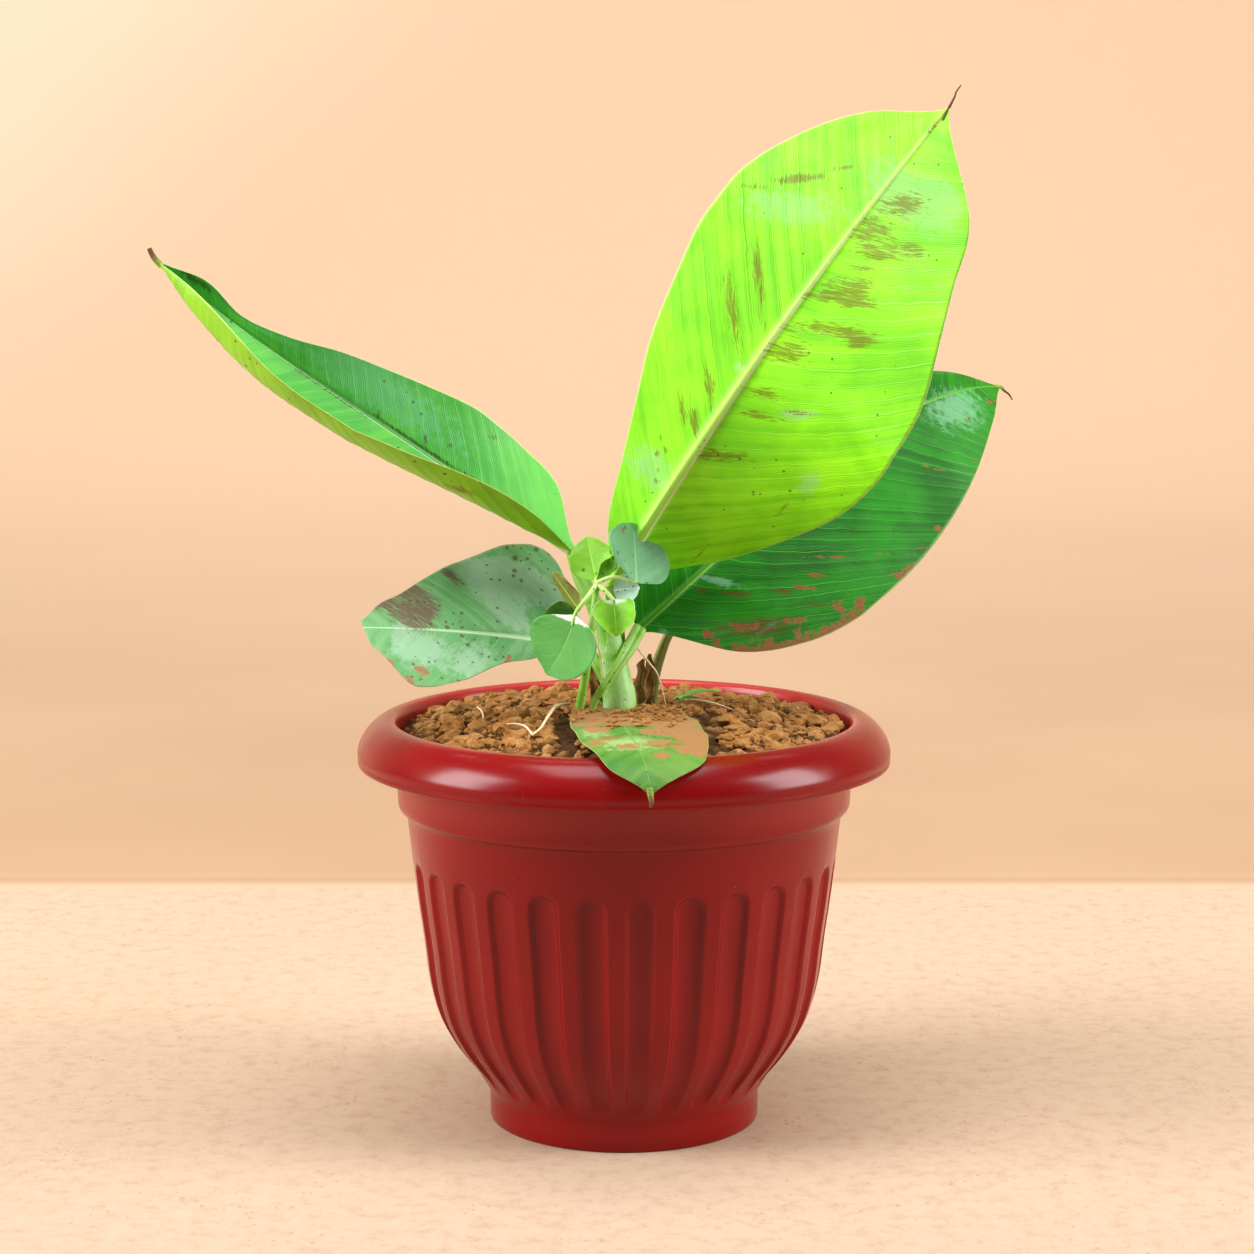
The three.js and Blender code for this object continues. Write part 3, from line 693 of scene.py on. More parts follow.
def leaf_skin(name, flesh, deep, vein, rib, line, margin, length, roughness=0.4, rib_half=0.003,
              line_at=-0.55, gap=0.009, brown="7a5a1e", dirt="b98a58", bloom="b9dcc0", vein_share=0.6,
              bloom_share=0.75, specks=0.12, shine=0.3, brown_share=0.8, dirt_deep="8f6238"):
    """One side of a blade: its greens, veins, midrib, margin and marks."""
    material, tree, shader = new_material(name, Roughness=roughness, Specular_IOR_Level=shine)
    here = own_place(tree)
    veins = read_layer(tree, "veins")
    flat = read_layer(tree, "leaf")
    marks = axes(tree, read_layer(tree, "marks"))
    side = use_group(tree, side_veins, {"Veins": veins, "Gap": gap})
    rib_sockets = {"Leaf": flat, "Length": length * MM, "Half Width": rib_half, "Line At": line_at}
    rib_parts = use_group(tree, middle_rib, rib_sockets)
    patchy = times(tree, mottle(tree, here, 30.0, 3.0), 0.5)
    cloud = maths(tree, "MULTIPLY_ADD", side["Strip"], 0.5, patchy)
    colour = tint(tree, ease(tree, cloud, 0.4, 0.64), paint(flesh), paint(deep))
    colour = tint(tree, ease(tree, mottle(tree, here, 17.0, 3.0), 0.5, 0.7, 0.0, 0.55), colour, paint(deep))
    colour = tint(tree, times(tree, side["Fine"], 0.08), colour, paint(vein))
    colour = tint(tree, times(tree, side["Broad"], vein_share), colour, paint(vein))
    ragged = maths(tree, "SUBTRACT", mottle(tree, here, 260.0, 5.0, 0.65), 0.5)
    streaked = maths(tree, "MULTIPLY_ADD", side["Streak"], 3.4, -1.7)
    frayed = maths(tree, "MULTIPLY_ADD", ragged, 1.6, times(tree, streaked, 0.35))
    # The pale bloom marks are partly the blade's waxy bloom, partly painted sheen where the gloss would
    # reflect the sky.
    pale = ease(tree, maths(tree, "ADD", frayed, marks[2]), 0.4, 0.95, 0.0, bloom_share)
    pale = times(tree, pale, ease(tree, marks[2], 0.05, 0.4))
    colour = tint(tree, pale, colour, paint(bloom))
    colour = tint(tree, rib_parts["Band"], colour, paint(rib))
    # The line along the midrib; on the tall blade a painted highlight on the lit edge of the rib.
    colour = tint(tree, times(tree, rib_parts["Line"], 0.9), colour, paint(line))
    scorched = maths(tree, "ADD", maths(tree, "MULTIPLY_ADD", ragged, 0.6, streaked), marks[0])
    brown_mask = ease(tree, scorched, 0.42, 0.95, 0.0, brown_share)
    brown_mask = times(tree, brown_mask, ease(tree, marks[0], 0.05, 0.35))
    colour = tint(tree, brown_mask, colour, paint(brown))
    crusted = maths(tree, "MULTIPLY_ADD", streaked, 0.3, marks[1])
    crusted = maths(tree, "MULTIPLY_ADD", ragged, 2.6, crusted)
    dirt_mask = times(tree, ease(tree, crusted, 0.5, 0.62), ease(tree, marks[1], 0.05, 0.2))
    dirt_colour = tint(tree, mottle(tree, here, 900.0, 3.0), paint(dirt), paint(dirt_deep))
    colour = tint(tree, dirt_mask, colour, dirt_colour)
    dots = use_group(tree, speckles, {"Place": here, "Scale": 300.0, "Amount": specks})[0]
    colour = tint(tree, times(tree, dots, 0.7), colour, paint("4a3a16"))
    # Paler band at the margin: the blade's pale edge, also painted as a highlight along its rim.
    colour = tint(tree, times(tree, rib_parts["Margin"], 0.7), colour, paint(margin))
    tree.links.new(colour, shader["Base Color"])
    rough = maths(tree, "MULTIPLY_ADD", maths(tree, "ADD", dirt_mask, pale), 0.4, roughness)
    rough = maths(tree, "MULTIPLY_ADD", ragged, 0.15, rough)
    tree.links.new(rough, shader["Roughness"])
    height = maths(tree, "MULTIPLY_ADD", side["Broad"], 1.2, times(tree, side["Fine"], 0.3))
    height = maths(tree, "ADD", height, times(tree, mottle(tree, here, 350.0, 3.0), 0.5))
    make_bumpy(tree, shader, height, 0.28, 0.0005)
    return material


# The tall blade stands nearly upright and turns its ridged underside to the front.
TALL_LEAF = {
    "base": (-5.9, -4, 259.3), "heading": -29.8, "swing": -1.8, "rise": 56.4, "bend": -8.7,
    "length": 278, "roll": 72.5, "twist": 24.7,
    "right": [3, 19.1, 28.9, 38.7, 49.5, 56, 60.9, 59.8, 48.6, 29.5, 0],
    "left": [6.4, 42.7, 60.5, 71.4, 76, 78.2, 75.5, 66.2, 54.8, 40.6, 0],
    "fold_right": [12, 0, -3], "fold_left": [49, 0, 0],
    "sweep_left": (0.4, 0.0062), "sweep_right": (0.95, 0.001),
    "ridge": 2.6, "channel": 0.8, "rib": 3.2, "vein_gap": 10.0, "wave": 0.9, "seed": 1,
    "brown": [
        (-13, 234, 10.4, 7.2, 0.5), (-9, 214, 10.4, 8.7, 0.5), (-17, 208, 9.1, 3.5, 0.6),
        (-29, 221, 6.5, 4.3, 0.6), (-16, 199, 6.5, 1.7, 0.6), (-16, 189, 11.7, 5.8, 0.6),
        (-16, 181, 19.5, 3.5, 0.6), (-20, 167, 19.5, 4.1, 0.65), (-10, 145, 10.4, 7.2, 0.5),
        (-34, 171, 6.5, 3.6, 0.7), (-12, 122, 7.8, 3.8, 0.5), (-15, 111, 10.4, 2.3, 0.5),
        (-30, 125, 7.8, 1.4, 0.7), (-6, 81, 3.1, 3.5, 0.5), (-16, 86, 9.1, 3.2, 0.5),
        (-50, 75, 0.9, 8, 0), (-33, 28, 0.9, 9, 0), (23, 163, 13, 4.3, 0.9), (24, 143, 15.6, 4.3, 0.9),
        (18, 92, 5.9, 3.2, 0.9), (8, 90, 7.8, 3.8, 0.9), (12, 108, 7.8, 3.8, 0.9), (12, 70, 2, 2, 0),
        (10, 60, 1.6, 1.6, 0), (15, 66, 1.4, 1.4, 0), (8, 55, 1.6, 1.2, 0), (17, 73, 1.2, 1.2, 0),
        (52, 190, 9.1, 1.4, -0.72), (41, 202, 6.5, 1.6, -0.7), (36, 208, 5.2, 2.6, -0.7),
        (30, 213, 6.5, 1.7, -0.9), (21, 226, 7.8, 1.4, -1), (0, 268, 1.6, 7, 0),
    ],
    # These pale marks are partly powdery bloom, partly painted sheen where the upright blade would reflect
    # the sky.
    "bloom": [
        (30, 196, 26, 11, -0.6), (-5, 236, 22, 14, 0), (-27, 246, 12, 12, 0), (-30, 124, 10, 5, 0.7),
        (5, 124, 4, 3, 0), (14, 58, 16, 12, 0), (-52, 96, 6, 10, 0),
    ],
}
# Painted glow: the underside's green is painted brighter than the blade's own, standing in for the light
# that shines through the thin blade.
tall_under = leaf_skin(
    "tall_leaf_underside", "9eff1e", "72d80e", "b0f858", "b0f058", "e4f6c4", "c8ec8c",
    TALL_LEAF["length"], roughness=0.42, rib_half=0.0034, gap=0.010, bloom="a4dc8c", bloom_share=0.55,
    vein_share=0.25, brown="76640c", brown_share=0.72)
tall_face = leaf_skin(
    "tall_leaf_face", "63b81c", "4a9c14", "8fd444", "a8d858", "b8dc70", "d8e8a8", TALL_LEAF["length"],
    roughness=0.38, gap=0.010, line_at=0.0)
build_blade("tall_leaf", TALL_LEAF, 200, 96, [tall_face, tall_under], ["leaf_tall"])

# The right-hand blade arches over the rim with its dark glossy face up, muddy at its lower margin.
RIGHT_LEAF = {
    "base": (7.3, 2, 237.3), "heading": 16.5, "swing": 35.4, "rise": 39.8, "bend": -45.6, "bend_power": 2,
    "length": 262.5, "roll": -62.6, "twist": 14,
    "right": [3, 42, 59.6, 67.1, 67.8, 65.3, 59.3, 49.7, 36.6, 19.7, 0],
    "left": [6, 42.2, 56.4, 62.5, 61.2, 54.5, 43, 29.4, 17, 8.5, 0],
    "fold_right": [5, 0, 1], "fold_left": [8, 0, -2],
    "sweep": (0.7, 0.009),
    "ridge": 2.2, "channel": 1.2, "rib": 2.2, "vein_gap": 9.5, "wave": 0.8, "seed": 2,
    "brown": [
        (38, 40, 14, 9, 1), (20, 45, 6, 2.6, 0.8), (7, 34, 3, 2.2, 0.5), (50, 70, 6, 1.2, 1),
        (34, 62, 5, 2, 1),
    ],
    "dirt": [
        (37, 19, 6, 4, 0), (44, 26, 6, 5, 0), (51, 35, 6, 8, 0), (58, 47, 6, 10, 0),
        (64, 62, 4.5, 11, 0), (67, 78, 3, 8, 0), (34, 36, 6, 3, 1), (25, 21, 5, 2.4, 0),
        (48, 56, 4, 2.4, 1), (39, 81, 4, 1.4, 0.9), (40, 72, 5, 1.6, 0.9), (57, 77, 4, 3, 0),
        (62, 87, 3, 3, 0), (36, 92, 8, 0.8, 1.2), (51, 114, 2.4, 0.8, 1.4), (61, 136, 3.6, 0.9, 1.6),
        (30, 172, 7, 0.9, 1.1), (16, 218, 1.2, 1.4, 0), (10, 243, 1.6, 3, 0), (39, 201, 1.2, 1.6, 0),
        (32, 211, 0.9, 0.9, 0), (58, 151, 2, 2, 0), (65, 123, 2.4, 5, 0), (65, 113, 3, 4, 0),
    ],
    "bloom": [(42, 43, 2.2, 8, 2), (9, 7, 4, 2.4, 0), (9, 215, 14, 26, 0), (9, 43, 12, 3, 0.6)],
}
right_face = leaf_skin(
    "right_leaf_face", "1c7e08", "0f5206", "52a238", "46921e", "7aaa3a", "8fa850", RIGHT_LEAF["length"],
    roughness=0.36, gap=0.0095, line_at=0.5, bloom="7fb48c", rib_half=0.002, bloom_share=0.55,
    vein_share=0.42, shine=0.24, specks=0.3, brown="5c3a1c", dirt="98683a", dirt_deep="603c1e")
right_under = leaf_skin(
    "right_leaf_underside", "5c9e3c", "4a8c30", "8cc468", "a4c860", "c8dc94", "a8c070",
    RIGHT_LEAF["length"], roughness=0.5, gap=0.0095)
build_blade("right_leaf", RIGHT_LEAF, 190, 96, [right_face, right_under], ["leaf_right"])

# The left-hand blade reaches out as a deep gutter: its near half rolls over and shows a strip of
# the yellower underside below a pale margin.
LEFT_LEAF = {
    "base": (-25, 0, 274), "heading": 172, "swing": 26.7, "rise": 33.7, "bend": 8.8, "bend_power": 4,
    "length": 238.3, "roll": 8.7, "twist": 59.7,
    "right": [4, 28.4, 33.2, 33.6, 29, 23.6, 18, 10, 5, 8.5, 0],
    "left": [3, 24, 37, 43, 47, 49, 51, 52, 46, 29, 0],
    "fold_right": [24.5, 44, 59.5], "fold_left": [-19.5, -19.5, 8], "curl_left": [118, 108, 97, 99, 124],
    "sweep": (0.8, 0.004),
    "ridge": 1.9, "channel": 0.9, "rib": 2.4, "vein_gap": 8.0, "wave": 0.6, "seed": 3,
    "brown": [
        (5, 222, 2, 5, 0.5), (6, 213, 1.8, 5, 0.5), (-1, 150, 0.7, 12, 0), (-1, 128, 0.7, 12, 0),
        (2, 100, 0.8, 14, 0), (2, 78, 0.8, 12, 0), (3, 58, 0.8, 9, 0), (6, 87, 3, 1.2, 0.6),
        (10, 76, 1.4, 1.4, 0), (27, 61, 1.6, 2, 0), (4, 112, 2, 1, 0.5), (-30, 60, 3, 9, 0),
    ],
    # These pale streaks are partly bloom, partly painted sheen on the inner face of the gutter.
    "bloom": [(14, 120, 14, 60, 0), (12, 190, 8, 22, 0)],
}
left_face = leaf_skin(
    "left_leaf_face", "62bc42", "4ba63e", "78c46c", "98d08c", "4c5a34", "d9e494", LEFT_LEAF["length"],
    roughness=0.38, gap=0.008, rib_half=0.0013, line_at=0.0, bloom="74bc8c", bloom_share=0.5,
    vein_share=0.22, brown="4a4424", specks=0.25)
left_under = leaf_skin(
    "left_leaf_underside", "92cc22", "76b01a", "b4dc5c", "c4dc84", "dce8b0", "e4e494",
    LEFT_LEAF["length"], roughness=0.42, gap=0.008, brown="7c5a24", specks=0.3, vein_share=0.3)
build_blade("left_leaf", LEFT_LEAF, 180, 100, [left_face, left_under], ["leaf_left"])

# The low blade on the left is dull and powdered, with a dark blotch near its tip. Its pale marks are partly
# powdery bloom, partly painted sheen.
LOW_LEAF = {
    "base": (-19.1, -2, 229.3), "heading": 205.6, "swing": 2, "rise": 12, "bend": -8,
    "length": 113, "roll": 52, "twist": -17,
    "right": [8, 42.1, 51.4, 51.4, 47.9, 43.4, 37, 30.1, 22, 15, 5],
    "left": [1, 4.9, 9.4, 13.2, 17.4, 22.5, 28.7, 34, 37.2, 34, 12],
    "fold_right": [12, 0, -1], "fold_left": [8, 0, 1],
    "sweep": (0.7, 0.006),
    "ridge": 1.6, "channel": 0.9, "rib": 2.2, "vein_gap": 7.0, "wave": 0.9, "seed": 4,
    "brown": [
        (12, 92, 10, 7, 0), (17, 78, 12, 8, 0), (8, 85, 10, 7, 0), (24, 86, 7, 6, 0),
        (16, 101, 5, 5, 0), (35, 62, 7, 4, 0.6),
    ],
    "dirt": [
        (-24, 108, 6, 3, 0), (17, 108, 4, 3, 0), (-33, 100, 4, 3, 0), (-28, 92, 5, 4, 0),
        (-16, 44, 6, 2, 0.5),
    ],
    "bloom": [
        (-13, 88, 16, 12, 0.4), (-4, 96, 14, 5, 0.4), (35, 48, 16, 12, 0.6), (34, 30, 12, 12, 0.6),
        (12, 37, 14, 10, 0.6), (-18, 64, 14, 14, 0.5), (24, 16, 12, 10, 0.6),
    ],
}
low_face = leaf_skin(
    "low_leaf_face", "76aa70", "4c8e48", "94c09a", "a3c895", "c3dcb4", "a79468", LOW_LEAF["length"],
    roughness=0.5, gap=0.007, rib_half=0.0018, line_at=0.0, vein_share=0.4, brown="683438",
    dirt="a8795c", bloom="b4c8b8", bloom_share=0.4, specks=0.5)
low_under = leaf_skin(
    "low_leaf_underside", "7fa878", "6a966a", "a4c498", "b0cc9c", "c8dcb8", "a79468",
    LOW_LEAF["length"], roughness=0.55, gap=0.007)
build_blade("low_leaf", LOW_LEAF, 100, 72, [low_face, low_under], ["leaf_low"])

# An old leaf has dropped on the soil: it lies flat, half under loam, and bends over the rim.
FALLEN_LEAF = {
    "base": (-1, -3, 200.6), "heading": -92, "swing": 16, "rise": 0, "bend": -75, "bend_power": 8,
    "length": 135, "roll": 0, "fold_right": 0, "fold_left": 0,
    "right": [13, 21, 23.4, 24.3, 24.5, 24.3, 23.6, 22.3, 20.2, 16, 0.8],
    "left": [14, 27, 31.2, 33.4, 34.6, 35, 34.6, 33.2, 30.4, 24, 0.8],
    "sweep": (0.8, 0.006),
    "ridge": 1.2, "channel": 0.5, "rib": 1.8, "vein_gap": 7.0, "wave": 0.7, "seed": 5,
    "brown": [(-12, 100, 9, 5, 0), (10, 84, 8, 6, 0)],
    "dirt": [
        (0, 14, 40, 20, 0), (4, 42, 26, 14, 0), (-24, 56, 12, 22, 0), (-28, 84, 8, 12, 0),
        (-16, 74, 12, 9, 0), (14, 66, 7, 9, 0), (4, 100, 6, 4, 0), (-10, 96, 7, 5, 0),
        (-31, 98, 8, 14, 0), (-22, 106, 6, 6, 0), (-9, 112, 4, 4, 0), (17, 92, 5, 6, 0),
    ],
    "bloom": [(2, 95, 20, 14, 0), (16, 70, 8, 12, 0)],
}
fallen_face = leaf_skin(
    "fallen_leaf_face", "648c34", "347224", "70a044", "5c9040", "80a854", "9aa84c",
    FALLEN_LEAF["length"], roughness=0.5, gap=0.007, rib_half=0.0008, line_at=0.0, vein_share=0.15,
    dirt="a87848", bloom="b4c888", bloom_share=0.5, specks=0.45, brown="8a5a2c")
fallen_under = leaf_skin(
    "fallen_leaf_underside", "8cae64", "7a9c54", "a8c480", "b4cc8c", "c8d8a4", "b0bc80",
    FALLEN_LEAF["length"], roughness=0.55, gap=0.007)
build_blade("fallen_leaf", FALLEN_LEAF, 110, 60, [fallen_face, fallen_under], ["leaf_fallen"])

# =============================================================== dry remains
# Papery brown sheaths of leaves that have died stand round the stem's foot. Pale fibres hang
# from them, a few rootlets lie on the loam, and each blade ends in a thread that has dried up.

paper, tree, shader = new_material("papery_sheath", Roughness=0.85, Specular_IOR_Level=0.25)
here = own_place(tree)
flat = read_layer(tree, "leaf")
lines = use_group(tree, grain, {"Skin": flat, "Scale": 1600.0, "Stretch": 0.05})
brown = tint(tree, ease(tree, lines["Streaks"], 0.35, 0.65), paint("8a5a30"), paint("c49a60"))
brown = tint(tree, ease(tree, mottle(tree, here, 200.0, 4.0), 0.5, 0.75, 0.0, 0.5), brown, paint("3a2412"))
tree.links.new(brown, shader["Base Color"])
make_bumpy(tree, shader, lines["Lines"], 0.8, 0.0006)

SHEATHS = [
    ("sheath_left", (-11.5, 6, 197), 125, 80, 24, 60, 4.5, ["dry_sheath_left"]),
    ("sheath_right", (10, 6, 197), 55, 82, 27, -60, 3.6, ["dry_sheath_right"]),
    ("sheath_behind", (6.5, 4, 197), 50, 80, 25, -40, 3.4, []),
    ("sheath_torn", (-9, 1, 197), 150, 84, 18, 30, 3.6, []),
]
for k, (name, base, heading, rise, length, roll, width, nodes) in enumerate(SHEATHS):
    torn = [width * share for share in (0.9, 1, 1, 0.95, 1, 0.8, 0.86, 0.5, 0.3)]
    sheath = {
        "base": base, "heading": heading, "rise": rise, "length": length, "roll": roll,
        "right": torn, "left": torn[::-1][1:-1] + [0.6], "curl_right": 60, "curl_left": 50, "ridge": 0.2,
        "channel": 0.1, "body": 0.5, "wave": 0.9, "waves": 2.2, "seed": 6 + k, "spread": 1.0, "relief": 0.25,
        "vein_gap": 1.4, "sweep": (0, 0),
    }
    build_blade(name, sheath, 40, 18, [paper, paper], nodes)

pale_fibre, tree, shader = new_material("pale_fibre", Roughness=0.7)
here = own_place(tree)
straw = tint(tree, mottle(tree, here, 300.0, 3.0), paint("c8a878"), paint("efe0bc"))
tree.links.new(straw, shader["Base Color"])
make_bumpy(tree, shader, mottle(tree, here, 1500.0, 3.0), 0.4, 0.0003)

FIBRES = [
    ([(-13.4, -19, 239), (-12.4, -20, 233), (-10.8, -20, 227), (-9.9, -19, 217), (-8.6, -17, 207)],
     (0.5, 0.45, 0.25)),
    ([(6.6, -9, 229), (8.2, -10, 227), (12.3, -10, 221.8), (15.8, -10, 217), (18.4, -9, 208),
      (20, -8, 201)], (0.55, 0.4, 0.2)),
    ([(-26, 3, 200.6), (-32, -12, 202.0), (-35, -34, 201.4), (-38, -54, 199.2), (-41.5, -62, 197.4)],
     (0.75, 0.8, 0.7, 0.6, 0.4)),
    ([(-41.5, -62, 197.0), (-45.6, -49, 198.8), (-51, -42, 198.8), (-56, -37, 197.4)],
     (0.55, 0.5, 0.45, 0.3)),
    ([(-71, 20, 196), (-68, 3, 197), (-66.4, -14, 196.4)], (0.4, 0.5, 0.35)),
    ([(24, 10, 200), (32, 4, 202.4), (43, 2, 201), (52, 8, 197)], (0.3, 0.4, 0.2)),
]
threads = [(route, radii, 10, 50) for route, radii in FIBRES]
build_limbs("fibres_and_rootlets", pale_fibre, "dry", (), *threads)

dried_tip, tree, shader = new_material("dried_tip", Roughness=0.7)
here = own_place(tree)
outward = axes(tree, read_layer(tree, "skin"))[2]
husk = tint(tree, ease(tree, outward, 0.0, 0.008), paint("8fae3c"), paint("6b3d1c"))
husk = tint(tree, ease(tree, mottle(tree, here, 700.0, 3.0), 0.4, 0.7, 0.0, 0.6), husk, paint("3a2412"))
tree.links.new(husk, shader["Base Color"])
make_bumpy(tree, shader, mottle(tree, here, 1200.0, 3.0), 0.5, 0.0003)

# Each thread's places are counted from the end of its leaf's midrib.
TIPS = [
    (TALL_LEAF, [(-3, 1.5, -5), (0, 0, 0), (2.2, -1, 4.4), (3, -1, 6.8), (5, -1.2, 9.6)],
     (1.2, 0.8, 0.5, 0.4, 0.25)),
    (RIGHT_LEAF, [(-3, -1, 0), (0, 0, 0), (1.8, 1, -1.8), (4.6, 1, -4), (6.2, 1, -6.8)],
     (1.4, 0.9, 0.6, 0.5, 0.3)),
    (LEFT_LEAF, [(3, 0, -3.4), (0, 0, 0), (-1.6, 0, 2.6), (-2.4, 0, 4.8)], (1.4, 1.4, 1.3, 1.1)),
    (FALLEN_LEAF, [(-0.4, 0.6, 3), (0, 0, 0), (0.4, -0.4, -3), (0, -0.2, -5.4)], (1.6, 1.4, 1.1, 0.6)),
]
threads = []
for leaf, offsets, radii in TIPS:
    end = midrib_stations(leaf, 60)[-1][0]
    threads.append(([end + Vector(offset) for offset in offsets], radii, 12, 30))
build_limbs("leaf_tip_threads", dried_tip, "dry", (), *threads)

# ================================================================== side shoot
# A young round-leaved shoot grows in front of the stem: a thin stem, three bare stalks that
# fork from its top, and small soft leaves, some of them cupped.

build_limbs("shoot_trunk", stalk_green, "stem", ["shoot_stem"], (
    [(-22.5, -16, STEM_FOOT), (-18, -23, 219), (-15, -28, 241), (-12.5, -30, 263)],
    [2.3, 2, 1.7, 1.5], 24, 70))

# A small forked green scrap lies loose on the loam behind the stem.
build_limbs(
    "fallen_sprig", stalk_green, "stem", (),
    ([(21, 22, 196), (28, 28, 200.4), (38, 34, 202), (47, 38, 200.6)], [0.7, 1.1, 0.9, 0.3],
     14, 40, channelled),
    ([(27, 26, 199), (31, 22, 201), (36, 19, 200.8)], [0.6, 0.9, 0.3], 14, 24, channelled))

shoot_stalk = stem_skin("shoot_stalk", "9ccb58", "b4dc6c", "8abf44", "d8ecb8", 0.3, 0.26)
build_limbs(
    "shoot_stalks", shoot_stalk, "stem",
    ["shoot_stalk_front", "shoot_stalk_cupped", "shoot_stalk_upper"],
    ([(-12.5, -30, 262.4), (-17, -35, 257), (-22.4, -37.8, 249.9), (-24, -38.4, 244)],
     [1.3, 1, 0.9, 0.6], 16, 40),
    ([(-12.5, -30, 262), (-8, -33, 259), (-4.6, -33.9, 255.2)], [1.2, 1, 0.9], 16, 30),
    ([(-12.5, -30, 263), (-4.6, -30, 265.7), (5.2, -28.5, 263)], [1.2, 1, 0.9], 16, 34),
    ([(-12.5, -29.6, 262.6), (-13, -26, 264), (-12.8, -21, 264)], [1.1, 0.9, 0.8], 12, 16),
    ([(-19, -22, 226), (-20.5, -24, 238), (-21.6, -27, 247)], [0.9, 0.8, 0.7], 12, 30))

SMALL = {
    "ridge": 0.5, "channel": 0.2, "rib": 0.7, "body": 0.4, "vein_gap": 5.0, "relief": 0.08, "wave": 0.5,
    "waves": 1.6, "sweep": (0.6, 0.012),
}
ROUND = [0.12, 0.62, 0.84, 0.95, 1, 1, 0.96, 0.86, 0.7, 0.48, 0.05]


def round_leaf(name, slot, node, skins, base, heading, rise, length, roll, width,
               bend=0, fold=8, **more):
    """A small round leaf of the side shoot."""
    outline = [width * share for share in ROUND]
    leaf = dict(SMALL, base=base, heading=heading, rise=rise, bend=bend, length=length, roll=roll,
                right=outline, left=outline, fold_right=fold, fold_left=fold, **more)
    build_blade(name, leaf, 44, 36, skins, [node])


def small_skin(name, flesh, deep, vein, length, rough=0.5, bloom="c4dcc8", bloom_share=0.5):
    """The soft skin of a round leaf: fine veins and hardly a midrib."""
    return leaf_skin(name, flesh, deep, vein, vein, vein, vein, length, roughness=rough,
                     rib_half=0.0007, line_at=0.0, gap=0.005, bloom=bloom,
                     bloom_share=bloom_share, vein_share=0.25, specks=0.35)


green_face = small_skin(
    "small_leaf_green", "4a962c", "3f8624", "62a244", 30, bloom="dfeadb", bloom_share=0.95)
lime_face = small_skin(
    "small_leaf_lime", "84c424", "6cae1a", "a0d650", 22, 0.42, bloom="dfeadb", bloom_share=0.9)
blue_face = small_skin("small_leaf_blue", "7ab486", "649c74", "a0cca0", 30, 0.55)
pale_back = small_skin("small_leaf_pale_back", "b4d4bc", "9cc4a8", "d8ecd8", 30, 0.6)
olive_face = small_skin("small_leaf_olive", "8a9c38", "78702c", "b0bc60", 22, 0.55)
shaded_face = small_skin("small_leaf_shaded", "4f8f34", "3c7a28", "7cb45c", 15, 0.5)

round_leaf(
    "shoot_leaf_low_front", "leaf_blue", "shoot_leaf_front", [green_face, pale_back],
    (-22.7, -38, 248.7), 178, -78, 30.6, 53, 20.7, bend=28, seed=11,
    bloom=[(-5, 1.4, 12, 1.8, 0), (6, 1.6, 8, 1.6, 0)])
round_leaf(
    "shoot_leaf_cup", "leaf_blue", "shoot_leaf_cupped", [lime_face, pale_back], (-4.7, -34, 255.4), -80,
    -58, 17.5, -10, 13.5, bend=-14, fold=22, curl_right=42, curl_left=42, seed=12,
    bloom=[(0, 1.2, 12, 1.6, 0)])
round_leaf(
    "shoot_leaf_high", "leaf_dull", "shoot_leaf_upper", [blue_face, blue_face], (5.8, -28, 263), 95, 53,
    30.6, -44, 21.2, bend=10, seed=13,
    dirt=[(-9, 24, 1.4, 2, 0), (-7, 18, 0.9, 1.4, 0), (-3, 10, 0.8, 1, 0)])
round_leaf(
    "shoot_leaf_pale", "leaf_dull", "shoot_leaf_inner", [pale_back, pale_back], (-4.8, -26, 259), -5, 6,
    12.2, -52, 7.9, seed=14)
round_leaf(
    "shoot_leaf_rolled", "leaf_bright", "shoot_leaf_bud", [lime_face, lime_face], (-12.5, -28, 264.3),
    45, 42, 15.3, -66, 4.9, bend=-9, fold=24, curl_right=40, curl_left=40, seed=15)
round_leaf(
    "shoot_leaf_rear", "leaf_bright", "shoot_leaf_back", [lime_face, lime_face], (-12.9, -20, 263.3),
    130, 69, 20.8, 68, 11.6, bend=5, seed=16)
round_leaf(
    "shoot_leaf_under", "leaf_dark", "shoot_leaf_shaded", [shaded_face, shaded_face],
    (-22.2, -28, 247.3), 178, 1, 14.9, -50, 8.4, seed=17)
round_leaf(
    "shoot_leaf_dry_green", "dry", "shoot_leaf_olive", [olive_face, olive_face], (-20.5, -20, 248.7),
    162, 52, 22.4, -59, 5.5, seed=18)

# ============================================================ floor, light, camera
# A studio floor that sweeps up into a pale bowl all round, large soft lights, and the camera.

plaster, tree, shader = new_material("peach_plaster", Roughness=0.95, Specular_IOR_Level=0.1)
here = own_place(tree)
parts = axes(tree, here)
depth = parts[1]
far = tint(tree, ease(tree, depth, 0.5, 3.2), paint("b29071"), paint("e4c6a8"))
tone = tint(tree, ease(tree, depth, 0.47, 0.53), paint("c3a98f"), far)
for start, end, code in ((0.1, -0.45, "ac9787"), (-0.45, -0.95, "8a8988"), (-0.95, -2.2, "6c6d6e")):
    tone = tint(tree, ease(tree, depth, start, end), tone, paint(code))
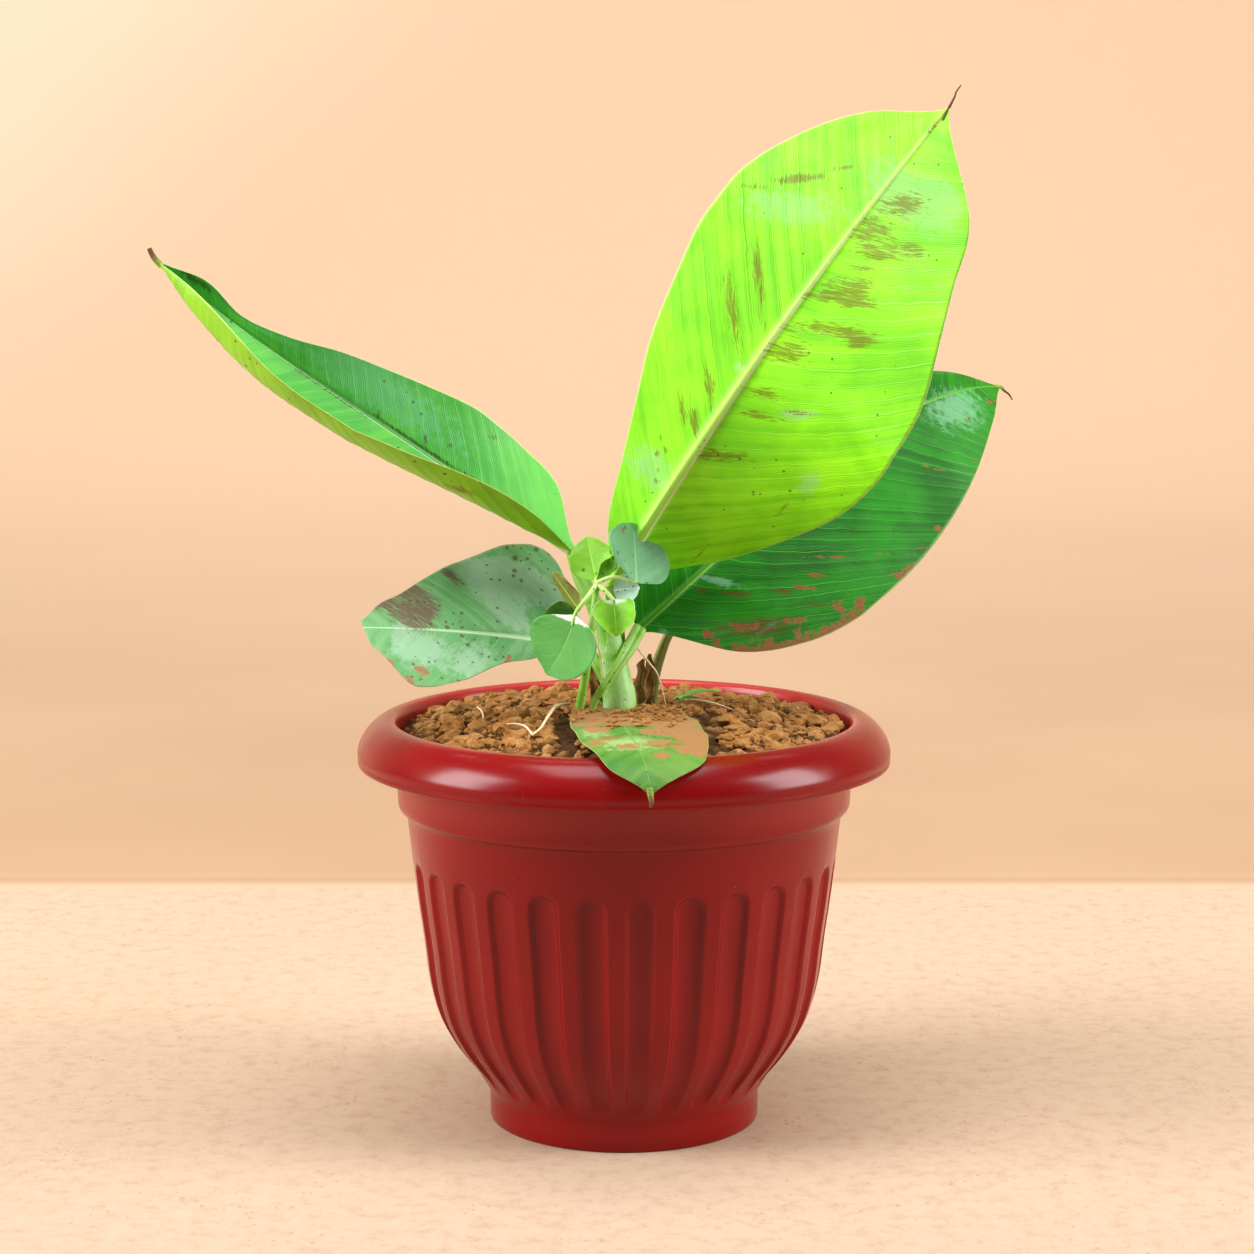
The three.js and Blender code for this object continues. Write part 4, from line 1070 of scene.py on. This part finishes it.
# A painted pool of light lies diagonally across the upper left of the backdrop.
slant = maths(tree, "MULTIPLY_ADD", parts[0], -0.9, parts[2])
painted_glow = times(tree, ease(tree, slant, 0.85, 1.75), ease(tree, depth, 1.0, 2.5))
tone = tint(tree, painted_glow, tone, paint("f2dcc2"))
tone = tint(tree, ease(tree, mottle(tree, here, 1.1, 3.0), 0.35, 0.7, 0.0, 0.2), tone, paint("e6c6a2"))
near = ease(tree, depth, 0.5, 0.46)
sandy = ease(tree, mottle(tree, here, 90.0, 8.0, 0.8), 0.42, 0.75, 0.0, 0.6)
tone = tint(tree, times(tree, sandy, near), tone, paint("a5846c"))
gritty = use_group(tree, speckles, {"Place": here, "Scale": 300.0, "Amount": 0.34})[0]
tone = tint(tree, times(tree, gritty, times(tree, near, 0.5)), tone, paint("9c7a60"))
# Painted shade: a dark line where the floor meets the backdrop, standing in for the shade in that corner.
painted_corner_shade = maths(tree, "ABSOLUTE", maths(tree, "SUBTRACT", depth, 0.5))
tone = tint(tree, ease(tree, painted_corner_shade, 0.018, 0.0, 0.0, 0.45), tone, paint("a87c5c"))
tree.links.new(tone, shader["Base Color"])
make_bumpy(tree, shader, mottle(tree, here, 220.0, 4.0), 0.15, 0.0008)

FLOOR_REACH = 2.6
BOWL_BEND = 1.5
BOWL_STEPS = 128

bm = bmesh.new()
sweep = [(0, 0), (0.4, 0), (1, 0), (2, 0), (FLOOR_REACH, 0)]
for lean in range(6, 91, 6):
    angle = math.radians(lean)
    out, up = BOWL_BEND * math.sin(angle), BOWL_BEND - BOWL_BEND * math.cos(angle)
    sweep.append((FLOOR_REACH + out, up))
sweep += [(4.1, 2.2), (4.1, 3)]
turn_round(bm, sweep, BOWL_STEPS)
bmesh.ops.reverse_faces(bm, faces=bm.faces)
mesh_object("studio_floor", bm, [plaster])


def soft_light(name, place, aim, width, height, power, colour=(0.97, 0.99, 1.0)):
    """A large square lamp that shines towards a place."""
    lamp = bpy.data.lights.new(name, "AREA")
    lamp.shape = "RECTANGLE"
    lamp.size, lamp.size_y, lamp.energy, lamp.color = width, height, power, colour
    holder = bpy.data.objects.new(name, lamp)
    holder.location = place
    holder.rotation_euler = (Vector(aim) - Vector(place)).to_track_quat("-Z", "Y").to_euler()
    bpy.context.scene.collection.objects.link(holder)


soft_light("window_left", (-2.2, -0.6, 1.2), (0, 0, 0.25), 1.1, 1.7, 88)
soft_light("window_right", (2.2, -0.45, 1.1), (0, 0, 0.25), 1.1, 1.7, 74)
soft_light("overhead", (0.0, -0.3, 2.2), (0, 0, 0.2), 1.6, 1.2, 38)
soft_light("backdrop_wash", (0, 1.5, 2.7), (0, 3.6, 0.9), 3.0, 0.8, 50, (1.0, 0.98, 0.95))

studio_air = bpy.data.worlds.new("studio_air")
studio_air.use_nodes = True
backing = studio_air.node_tree.nodes["Background"].inputs
backing["Color"].default_value = (0.95, 0.98, 1.0, 1)
backing["Strength"].default_value = 0.24
bpy.context.scene.world = studio_air
bpy.context.scene.view_settings.view_transform = "Standard"

LOOKS_DOWN = 8.09
lens = bpy.data.cameras.new("front_camera")
lens.lens, lens.sensor_width, lens.clip_start, lens.clip_end = 85, 36, 0.01, 50
front_camera = bpy.data.objects.new("front_camera", lens)
front_camera.location = (0.00141, -1.3933, 0.4361)
front_camera.rotation_euler = (math.radians(90 - LOOKS_DOWN), 0, 0)
bpy.context.scene.collection.objects.link(front_camera)
bpy.context.scene.camera = front_camera
